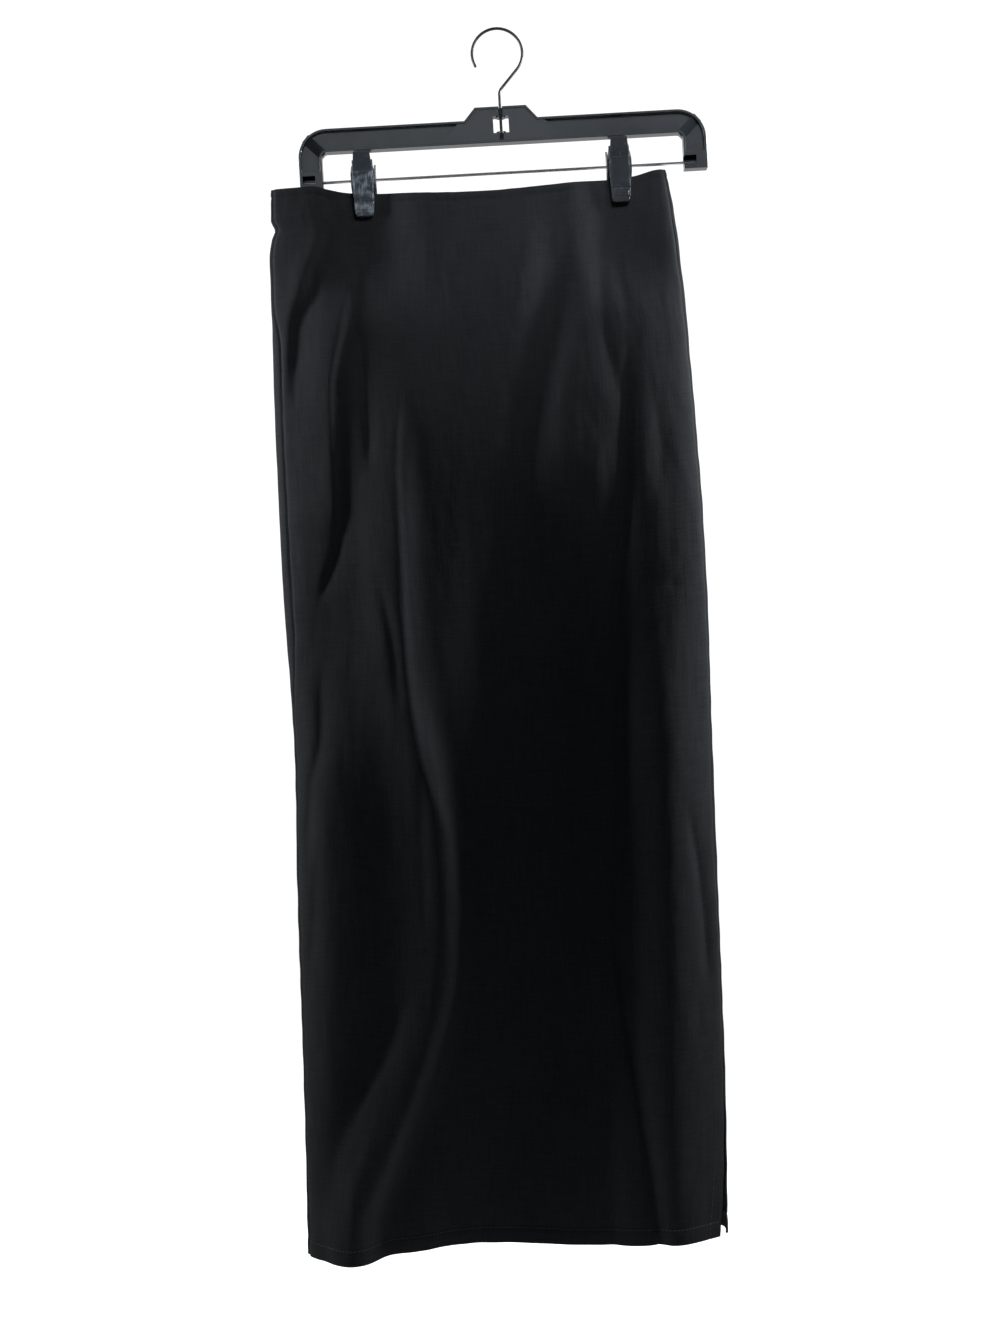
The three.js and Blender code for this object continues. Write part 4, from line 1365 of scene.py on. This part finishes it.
@dataclass
class HangerFrame:
    """The moulded frame: a channelled beam and legs, a plain hump at the hook, and solid end bosses.

    Heights are drops. The window is its half-width, its top and its bottom. Each pocket holds one end
    of the clip bar. The bands cross the corners' webs.
    """

    half_width: float = 178.0
    beam_top: float = 79.5
    beam_bottom: float = 99.8
    leg_bottom: float = 131.6
    corner_radius: float = 25.0
    thickness: float = 9.0
    web: float = 3.0
    rim: float = 2.0
    hump_top: float = 68.3
    hump_top_half: float = 22.3
    hump_base_half: float = 32.0
    hump_sunk: float = 0.7
    window: tuple[float, float, float] = (6.8, 76.6, 91.2)
    collar: float = 8.6
    boss_top: float = 117.8
    pockets: tuple[tuple[float, float], ...] = ((-175.4, -164.4), (156.0, 168.4))
    pocket_drops: tuple[float, float] = (120.0, 127.0)
    pocket_back: float = 2.0
    corner_steps: int = 12
    shoulder_slant: float = 9.0
    band_width: float = 8.6
    band_length: float = 22.0
    band_rise: float = 1.0
    band_tilt: float = 11.0

    @property
    def leg_width(self) -> float:
        """The leg is as wide as the beam is tall."""
        return self.beam_bottom - self.beam_top

    @property
    def corner(self) -> Vector:
        """The middle of the right corner's round, in millimetres."""
        return Vector((self.half_width - self.corner_radius, 0, -self.beam_top - self.corner_radius))

    def sweep_arms(self, frame: bpy.types.Object) -> None:
        """Run the beam out to both corners, round them, and down to the legs' feet."""
        base, slant, far = self.hump_base_half, self.shoulder_slant, self.corner.x
        step = base / 3 + slant / 2
        edge = base + step
        middle = (self.beam_top + 5) * MM
        for hand in (-1, 1):

            def faces_out(face: bmesh.types.BMFace, beyond: float, level: float) -> bool:
                """Say whether a face looks out to this hand's side and lies beyond a place."""
                return face.normal.x * hand > level and face.calc_center_median().x * hand > beyond * MM

            def on_edge(vert: bmesh.types.BMVert, low: bool) -> bool:
                """Say whether a corner is on the arm's end, in its lower or its upper half."""
                return abs(vert.co.x * hand - edge * MM) < 0.1 * MM and (vert.co.z < -middle) == low

            with edit_mode(frame):
                pick(frame, "faces", lambda face: faces_out(face, 0.9 * base, 0.9))
                extrude(step * hand, 0, 0)
                for low, sign in ((True, 1), (False, -1)):
                    pick(frame, "verts", lambda vert: on_edge(vert, low))
                    shift(sign * hand * slant, 0, 0)
                pick(frame, "faces", lambda face: faces_out(face, edge - 1, 0.3))
                extrude((far - edge) * hand, 0, 0)
                resize((0, 1, 1), (far * hand, 0, 0))
                spin(self.corner_steps, math.radians(90) * hand, (far * hand, 0, self.corner.z))
                extrude(0, 0, -self.boss_top - self.corner.z)
                extrude(0, 0, self.boss_top - self.leg_bottom)

    def raise_hump(self, frame: bpy.types.Object) -> None:
        """Pull the middle of the beam's top up into the hump."""
        with edit_mode(frame):
            top = lambda face: face.normal.z > 0.9 and abs(face.calc_center_median().x) < 1 * MM
            pick(frame, "faces", top)
            extrude(0, 0, self.beam_top - self.hump_top)
            resize((self.hump_top_half / self.hump_base_half, 1, 1), (0, 0, -self.hump_top))

    def sink_channels(self, frame: bpy.types.Object) -> None:
        """Sink the face inside the rim, a little on the hump and down to the web along the arms."""
        depth = (self.thickness - self.web) / 2
        level = (self.thickness / 2 - self.hump_sunk) * MM
        arm_from = 1.7 * self.hump_base_half * MM
        for side in Side:

            def above_bosses(face: bmesh.types.BMFace) -> bool:
                """Say whether a face is on this side, above the bosses."""
                above = face.calc_center_median().z > -self.boss_top * MM
                return above and face.normal.y * side.value > 0.9

            def along_arms(face: bmesh.types.BMFace) -> bool:
                """Say whether a face is the floor just sunk, along an arm."""
                middle = face.calc_center_median()
                on_floor = abs(middle.y * side.value - level) < 0.05 * MM
                return face.normal.y * side.value > 0.9 and on_floor and abs(middle.x) > arm_from

            with edit_mode(frame):
                pick(frame, "faces", above_bosses)
                bpy.ops.mesh.inset(thickness=self.rim * MM, depth=0, use_even_offset=True)
                extrude(0, -side.value * self.hump_sunk, 0)
                pick(frame, "faces", along_arms)
                extrude(0, -side.value * (depth - self.hump_sunk), 0)

    def add_corner_bands(self, frame: bpy.types.Object) -> None:
        """Cross each corner's web with a flat diagonal band, tipped a little about its length."""
        inner = self.corner_radius - self.leg_width + self.rim
        middle = (inner + self.corner_radius - self.rim) / 2
        size = Vector((self.band_width, self.web + 2 * self.band_rise, self.band_length)) / 2
        for hand in (-1, 1):
            band = add_box(-size, size)
            away = Vector((hand, 0, 1)).normalized() * middle
            slanted = Matrix.Rotation(math.radians(45) * hand, 4, "Y")
            tipped = Matrix.Rotation(math.radians(self.band_tilt) * hand, 4, "Z")
            place = Vector((self.corner.x * hand, 0, self.corner.z)) + away
            band.matrix_world = Matrix.Translation(place * MM) @ slanted @ tipped
            apply_place(band)
            make_active(frame)
            band.select_set(True)
            bpy.ops.object.join()

    def cut_openings(self, frame: bpy.types.Object) -> None:
        """Cut the window, join its two slotted collars, and cut the bar's pockets in the bosses."""
        half, top, bottom = self.window
        front = -self.thickness
        cut_away(frame, add_box((-half, front, -bottom), (half, -front, -top)))
        for low, high in ((top + 0.8, self.hump_top + 1.0), (self.beam_bottom - 1.2, bottom - 1.4)):
            collar = add_rod(self.collar / 2, (0, 0, -low), (0, 0, -high), 28)
            cut_away(frame, collar, "UNION")
        groove = add_box((-1.55, front, -self.beam_bottom + 2.4), (1.55, 0.4, -self.hump_top + 5))
        cut_away(frame, groove)
        top, bottom = self.pocket_drops
        for start, end in self.pockets:
            cut_away(frame, add_box((start, front, -bottom), (end, self.pocket_back, -top)))

    def build(self, material: bpy.types.Material) -> None:
        """Model the frame.

        Args:
            material: The plastic's finish.
        """
        half = self.thickness / 2
        corner = (self.hump_base_half, half, -self.beam_top)
        frame = add_box((-self.hump_base_half, -half, -self.beam_bottom), corner)
        self.sweep_arms(frame)
        self.raise_hump(frame)
        self.sink_channels(frame)
        bevel = {"limit_method": "ANGLE", "angle_limit": math.radians(38)}
        apply_modifier(frame, "BEVEL", width=0.75 * MM, segments=3, **bevel)
        self.cut_openings(frame)
        self.add_corner_bands(frame)
        finish_mesh(frame, 32.0)
        hand_over(frame, "moulded_hanger", material, Slot.HANGER, "hanger_frame")


@dataclass
class HookWire:
    """The hook: one wire that rises from the hump, leans over and turns round the rail."""

    diameter: float = 2.5
    radius: float = 22.0
    foot: float = 96.0
    lean: float = 42.0
    bend_radius: float = 9.0
    tip_angle: float = 207.0

    def build(self, material: bpy.types.Material) -> None:
        """Model the wire by extruding its round section up, over and round.

        Args:
            material: The wire's finish.
        """
        lean, tip = math.radians(self.lean), math.radians(self.tip_angle)
        centre = Vector((0, 0, self.diameter / 2 - self.radius))
        start = centre + self.radius * Vector((math.cos(lean), 0, -math.sin(lean)))
        along = Vector((math.sin(lean), 0, math.cos(lean)))
        corner = start - along * (start.x / along.x)
        tangent = self.bend_radius * math.tan(lean / 2)
        bend_drop = corner.z - tangent
        deselect_all()
        foot = (0, 0, -self.foot * MM)
        section = {"vertices": 20, "radius": self.diameter / 2 * MM, "fill_type": "NGON"}
        bpy.ops.mesh.primitive_circle_add(location=foot, **section)
        wire = bpy.context.active_object
        apply_place(wire)
        with edit_mode(wire):
            bpy.ops.mesh.select_all(action="SELECT")
            extrude(0, 0, bend_drop + self.foot)
            spin(10, lean, (self.bend_radius, 0, bend_drop))
            extrude(*(along * ((start - corner).length - tangent)))
            spin(60, -tip - lean, centre)
            end = centre + self.radius * Vector((math.cos(tip), 0, math.sin(tip)))
            onward = Vector((-math.sin(tip), 0, math.cos(tip)))
            for reach, size in ((0.55, 0.86), (0.4, 0.6)):
                end = end + onward * reach
                extrude(*(onward * reach))
                resize((size, size, size), end)
        finish_mesh(wire, 50.0)
        hand_over(wire, "wire_hook", material, Slot.HOOK, "hook_wire")


# The drop of the bar, which the clips turn on.
BAR_DROP = 125.3


@dataclass
class ClipBar:
    """The straight zinc-plated bar that the clips slide on."""

    drop: float = BAR_DROP
    diameter: float = 2.6
    ends: tuple[float, float] = (-175.0, 168.0)

    def build(self, material: bpy.types.Material) -> None:
        """Model the bar, with both ends sheared and slightly rounded.

        Args:
            material: The zinc's finish.
        """
        left, right = self.ends
        bar = add_rod(self.diameter / 2, (left, 0, -self.drop), (right, 0, -self.drop), 28)
        bevel = {"limit_method": "ANGLE", "angle_limit": math.radians(60)}
        apply_modifier(bar, "BEVEL", width=0.3 * MM, segments=2, **bevel)
        finish_mesh(bar, 40.0)
        hand_over(bar, "plated_bar", material, Slot.ZINC, "clip_bar")


@dataclass(frozen=True)
class Station:
    """One level of a lever, measured from the bar: how wide it is, and its two faces' distances out."""

    height: float
    half_width: float
    outside: float
    inside: float


LEVER_TIP = (
    Station(-20.4, 8.5, 5.8, 3.2),
    Station(-21.2, 8.4, 6.5, 2.5),
    Station(-28.6, 8.1, 6.1, 2.5),
    Station(-31.4, 7.3, 6.0, 2.5),
    Station(-32.4, 5.6, 5.8, 2.7),
)
FRONT_LEVER = (
    Station(22.4, 6.5, 12.1, 10.7),
    Station(21.5, 7.2, 12.3, 10.2),
    Station(6.7, 8.5, 9.6, 7.4),
    Station(5.9, 8.5, 8.8, 7.0),
    Station(0.0, 9.0, 8.0, 6.2),
    Station(-19.4, 8.6, 5.9, 4.2),
    *LEVER_TIP,
)
BACK_LEVER = (
    Station(22.4, 6.6, 12.1, 10.7),
    Station(21.5, 7.3, 12.3, 10.2),
    Station(6.7, 9.8, 9.6, 7.4),
    Station(5.9, 10.0, 8.8, 7.0),
    Station(0.0, 10.9, 8.0, 6.2),
    Station(-7.0, 10.9, 7.3, 5.4),
    Station(-12.0, 9.0, 6.8, 4.9),
    *LEVER_TIP,
)


@dataclass
class Clip:
    """One pinch clip: two levers that turn on the bar, and the coil spring between their cheeks.

    Attributes:
        name: The clip's name.
        x: Its place along the bar.
        bar_drop: The bar's drop. Heights are measured from it.
        cheek: How thick a cheek is.
        cheek_inner: How far the front lever's cheeks are from the middle.
        cheek_gap: The air between the front lever's cheeks and the back's.
        cheek_reach: How far a cheek passes the middle of the bar.
        cheek_root: How far into its lever it starts.
        cheek_cut: How much of its end is cut off at the top and the bottom.
        cheek_span: Its lowest and highest point.
        panels: Each raised or sunk panel's lowest and highest point, its rim and its rise.
        spring_radius: The radius of the coil.
        spring_wire: The radius of its wire.
        spring_length: How long the coil is.
        spring_turns: How many turns it has.
    """

    name: str
    x: float
    bar_drop: float = BAR_DROP
    cheek: float = 1.6
    cheek_inner: float = 7.4
    cheek_gap: float = 0.3
    cheek_reach: float = 3.4
    cheek_root: float = 7.4
    cheek_cut: tuple[float, float] = (10.0, 7.5)
    cheek_span: tuple[float, float] = (-12.0, 16.0)
    panels: tuple[tuple[float, ...], ...] = ((-29.0, -20.8, 1.5, 0.35), (-19.6, 5.9, 1.3, -0.25))
    spring_radius: float = 2.85
    spring_wire: float = 0.42
    spring_length: float = 9.2
    spring_turns: int = 8

    def sweep_plate(self, side: Side, stations: Sequence[Station]) -> bpy.types.Object:
        """Draw a lever's plate down through its stations.

        Args:
            side: The side of the skirt that the lever is on.
            stations: Its levels from the top down.

        Returns:
            The plate.
        """
        first = stations[0]
        middle = side.value * (first.outside + first.inside) / 2
        deselect_all()
        top = (self.x * MM, middle * MM, (first.height - self.bar_drop) * MM)
        bpy.ops.mesh.primitive_plane_add(size=1, location=top)
        plate = bpy.context.active_object
        plate.scale = (2 * first.half_width * MM, (first.outside - first.inside) * MM, 1)
        apply_place(plate)
        with edit_mode(plate):
            bpy.ops.mesh.select_all(action="SELECT")
            for above, below in zip(stations, stations[1:]):
                middle = side.value * (below.outside + below.inside) / 2
                step = middle - side.value * (above.outside + above.inside) / 2
                extrude(0, step, below.height - above.height)
                wide = below.half_width / above.half_width
                thick = (below.outside - below.inside) / (above.outside - above.inside)
                resize((wide, thick, 1), (self.x, middle, below.height - self.bar_drop))
        finish_mesh(plate)
        return plate

    def add_cheeks(self, plate: bpy.types.Object, side: Side) -> None:
        """Join the two cheeks that carry the bar, the back lever's outside the front's."""
        inner = self.cheek_inner + (self.cheek + self.cheek_gap if side is Side.BACK else 0)
        low, high = self.cheek_span
        for hand in (-1, 1):
            a, b = sorted((self.x + hand * inner, self.x + hand * (inner + self.cheek)))
            near, far = sorted((-side.value * self.cheek_reach, side.value * self.cheek_root))
            cheek = add_box((a, near, low - self.bar_drop), (b, far, high - self.bar_drop))
            reach, middle = -side.value * self.cheek_reach * MM, (2 - self.bar_drop) * MM

            def at_reach(vert: bmesh.types.BMVert, top: bool) -> bool:
                """Say whether a corner is on the cheek's far edge, at its top or its bottom."""
                return abs(vert.co.y - reach) < 0.1 * MM and (vert.co.z > middle) == top

            with edit_mode(cheek):
                for top, move in ((True, -self.cheek_cut[0]), (False, self.cheek_cut[1])):
                    pick(cheek, "verts", lambda vert: at_reach(vert, top))
                    shift(0, 0, move)
            cut_away(plate, cheek, "UNION")

    def add_pad(self, plate: bpy.types.Object, side: Side) -> None:
        """Raise a plain panel on the outside of the jaw, and sink one between the steps above it."""
        for low, high, rim, push in self.panels:

            def in_panel(face: bmesh.types.BMFace) -> bool:
                """Say whether a face is on the outside, between the panel's two levels."""
                height = face.calc_center_median().z / MM + self.bar_drop
                return face.normal.y * side.value > 0.9 and low < height < high

            with edit_mode(plate):
                pick(plate, "faces", in_panel)
                bpy.ops.mesh.inset(thickness=rim * MM, depth=0)
                extrude(0, side.value * push, 0)

    def build_lever(self, side: Side, material: bpy.types.Material) -> None:
        """Model one lever.

        Args:
            side: The side of the skirt that it is on.
            material: The plastic's finish.
        """
        plate = self.sweep_plate(side, FRONT_LEVER if side is Side.FRONT else BACK_LEVER)
        self.add_pad(plate, side)
        bevel = {"limit_method": "ANGLE", "angle_limit": math.radians(40)}
        apply_modifier(plate, "BEVEL", width=0.4 * MM, segments=3, **bevel)
        self.add_cheeks(plate, side)
        finish_mesh(plate, 35.0)
        word = side.name.lower()
        hand_over(plate, f"{self.name}_{word}_lever", material, Slot.CLIP, f"{self.name}_{word}")

    def build_spring(self, material: bpy.types.Material) -> None:
        """Wind the spring round the bar with a Screw modifier.

        Args:
            material: The wire's finish.
        """
        deselect_all()
        start = ((self.x - self.spring_length / 2) * MM, 0, -self.bar_drop * MM)
        bpy.ops.mesh.primitive_circle_add(
            vertices=10, radius=self.spring_wire * MM, location=start, rotation=(math.radians(90), 0, 0)
        )
        coil = bpy.context.active_object
        make_active(coil)
        bpy.ops.object.transform_apply(location=False, rotation=True, scale=True)
        with edit_mode(coil):
            bpy.ops.mesh.select_all(action="SELECT")
            shift(0, 0, self.spring_radius)
        pitch = self.spring_length / self.spring_turns * MM
        turns = {"iterations": self.spring_turns, "steps": 20, "render_steps": 20}
        apply_modifier(coil, "SCREW", axis="X", angle=2 * math.pi, screw_offset=pitch, **turns)
        with edit_mode(coil):
            pick(coil, "edges", lambda edge: edge.is_boundary)
            bpy.ops.mesh.fill_holes(sides=0)
        apply_place(coil)
        finish_mesh(coil, 60.0)
        hand_over(coil, f"{self.name}_coil", material, Slot.ZINC, f"{self.name}_spring")

    def build(self, plastic: bpy.types.Material, wire: bpy.types.Material) -> None:
        """Build both levers and the spring."""
        for side in Side:
            self.build_lever(side, plastic)
        self.build_spring(wire)


# ------------------------------------------------------------------ the studio


@dataclass(frozen=True)
class SoftLight:
    """One square softbox, which faces the point it is aimed at."""

    name: str
    place: tuple[float, float, float]
    aim: tuple[float, float, float]
    size: tuple[float, float]
    power: float
    spread: float = 180.0
    reflected: bool = True
    lights_cloth: bool = True

    def build(self) -> None:
        """Hang the softbox."""
        lamp = bpy.data.lights.new(self.name, "AREA")
        lamp.shape = "RECTANGLE"
        lamp.size, lamp.size_y = self.size
        lamp.energy = self.power
        lamp.spread = math.radians(self.spread)
        box = bpy.data.objects.new(self.name, lamp)
        box.visible_camera = False
        box.visible_glossy = self.reflected
        box.visible_diffuse = self.lights_cloth
        box.location = self.place
        box.rotation_euler = (Vector(self.aim) - Vector(self.place)).to_track_quat("-Z", "Y").to_euler()
        bpy.context.scene.collection.objects.link(box)


@dataclass(frozen=True)
class BlackFlag:
    """One black board that keeps the white surround off the front, and isn't itself in view."""

    name: str
    low: tuple[float, float, float]
    high: tuple[float, float, float]

    def build(self, material: bpy.types.Material) -> None:
        """Stand the board up, facing the object."""
        board = add_box([c / MM for c in self.low], [c / MM for c in self.high])
        board.name = self.name
        board.data.materials.append(material)
        board.visible_camera = False


@dataclass(frozen=True)
class Studio:
    """A plain pale floor, a white surround, soft lights, black flags, and the camera."""

    camera_place: tuple[float, float, float] = (-0.0273, -1.30, -0.556)
    camera_roll: float = 3.2
    field_of_view: float = 48.3
    sensor: float = 36.0
    floor_drop: float = 1.35
    floor_size: float = 24.0
    surround: float = 1.1
    flags: tuple[BlackFlag, ...] = (
        BlackFlag("front_flag", (-1.50, -1.54, -1.34), (1.50, -1.50, 1.10)),
        BlackFlag("left_flag", (-1.54, -1.50, -1.34), (-1.50, -0.30, 1.10)),
        BlackFlag("right_flag", (1.50, -1.50, -1.34), (1.54, -0.25, 1.10)),
        BlackFlag("roof_flag", (-1.50, -1.50, 1.10), (1.50, -0.35, 1.14)),
    )
    lights: tuple[SoftLight, ...] = (
        SoftLight("left_softbox", (-0.98, -0.07, -0.08), (-0.16, 0.0, -0.34), (0.12, 0.5), 13.0, 120.0),
        SoftLight("right_softbox", (0.98, 0.00, -0.06), (0.15, 0.0, -0.34), (0.12, 0.5), 25.0, 125.0),
        SoftLight(
            "top_softbox", (0.24, -0.31, 0.14), (0.10, 0.0, -0.12), (0.5, 0.14), 1.25, 66.0,
            reflected=False,
        ),
        SoftLight(
            "left_arm_panel", (-0.25, -1.46, 0.38), (-0.1, 0.0, -0.1), (0.9, 0.45), 1.6, lights_cloth=False
        ),
        SoftLight(
            "right_arm_panel", (0.62, -1.44, 0.38), (0.1, 0.0, -0.1), (0.8, 0.45), 2.1, lights_cloth=False
        ),
    )

    def build(self) -> None:
        """Set the floor, the surround, the lights and the camera."""
        scene = bpy.context.scene
        scene.view_settings.view_transform = "Standard"
        deselect_all()
        bpy.ops.mesh.primitive_plane_add(size=self.floor_size, location=(0, 0, -self.floor_drop))
        floor = bpy.context.active_object
        floor.name = "floor"
        apply_place(floor)
        floor.data.materials.append(PlainMatt("pale_floor", "#fafafa", 0.9, 0.1).build())
        world = bpy.data.worlds.new("studio")
        world.use_nodes = True
        world.node_tree.nodes.clear()
        white = {"Color": (1.0, 1.0, 1.0, 1.0), "Strength": self.surround}
        background = add_node(world.node_tree, "ShaderNodeBackground", white)
        add_node(world.node_tree, "ShaderNodeOutputWorld", {"Surface": background.outputs[0]})
        scene.world = world
        for light in self.lights:
            light.build()
        black = PlainMatt("black_flag", "#0a0a0a", 1.0, 0.0).build()
        for flag in self.flags:
            flag.build(black)
        lens = bpy.data.cameras.new("camera")
        lens.sensor_width = self.sensor
        lens.lens = self.sensor / 2 / math.tan(math.radians(self.field_of_view / 2))
        lens.clip_start, lens.clip_end = 0.02, 60.0
        camera = bpy.data.objects.new("camera", lens)
        level = Matrix.Rotation(math.radians(90), 4, "X")
        roll = Matrix.Rotation(math.radians(self.camera_roll), 4, "Y")
        camera.matrix_world = Matrix.Translation(self.camera_place) @ roll @ level
        scene.collection.objects.link(camera)
        scene.camera = camera


# ------------------------------------------------------------------ the whole object


def main() -> None:
    """Build the skirt and its hanger, then the studio."""
    logging.basicConfig(level=logging.INFO, format="%(message)s")
    crepe = CrepeCloth().build()
    thread = SewingThread().build()
    hanger_plastic = MouldedPlastic("hanger_polystyrene", "#15171a", "#1d1f22", roughness=0.18).build()
    # Painted shade: the right clip's plastic is a darker copy of the clip plastic, standing in for the
    # shade on that clip.
    clip_plastic = MouldedPlastic("clip_polystyrene", "#191c20", "#222528", roughness=0.22).build()
    # The left clip's scratches are wear; their lighter lower part is painted light.
    worn_and_lit = MouldedPlastic("worn_clip_polystyrene", "#1f2329", "#2b3037", roughness=0.24, scratch_and_light_share=0.42)
    black_wire = DrawnWire("black_coated_wire", "#17181a", "#2b2d30", metallic=0.4, roughness=0.35).build()
    zinc = DrawnWire("zinc_plated_wire", "#a7abad", "#cfd2d2", metallic=1.0, roughness=0.28).build()
    Skirt().build(crepe, thread)
    HangerFrame().build(hanger_plastic)
    HookWire().build(black_wire)
    ClipBar().build(zinc)
    Clip("clip_left", CLIP_PLACES[0]).build(worn_and_lit.build(), zinc)
    Clip("clip_right", CLIP_PLACES[1]).build(clip_plastic, zinc)
    Studio().build()


if __name__ == "__main__":
    main()
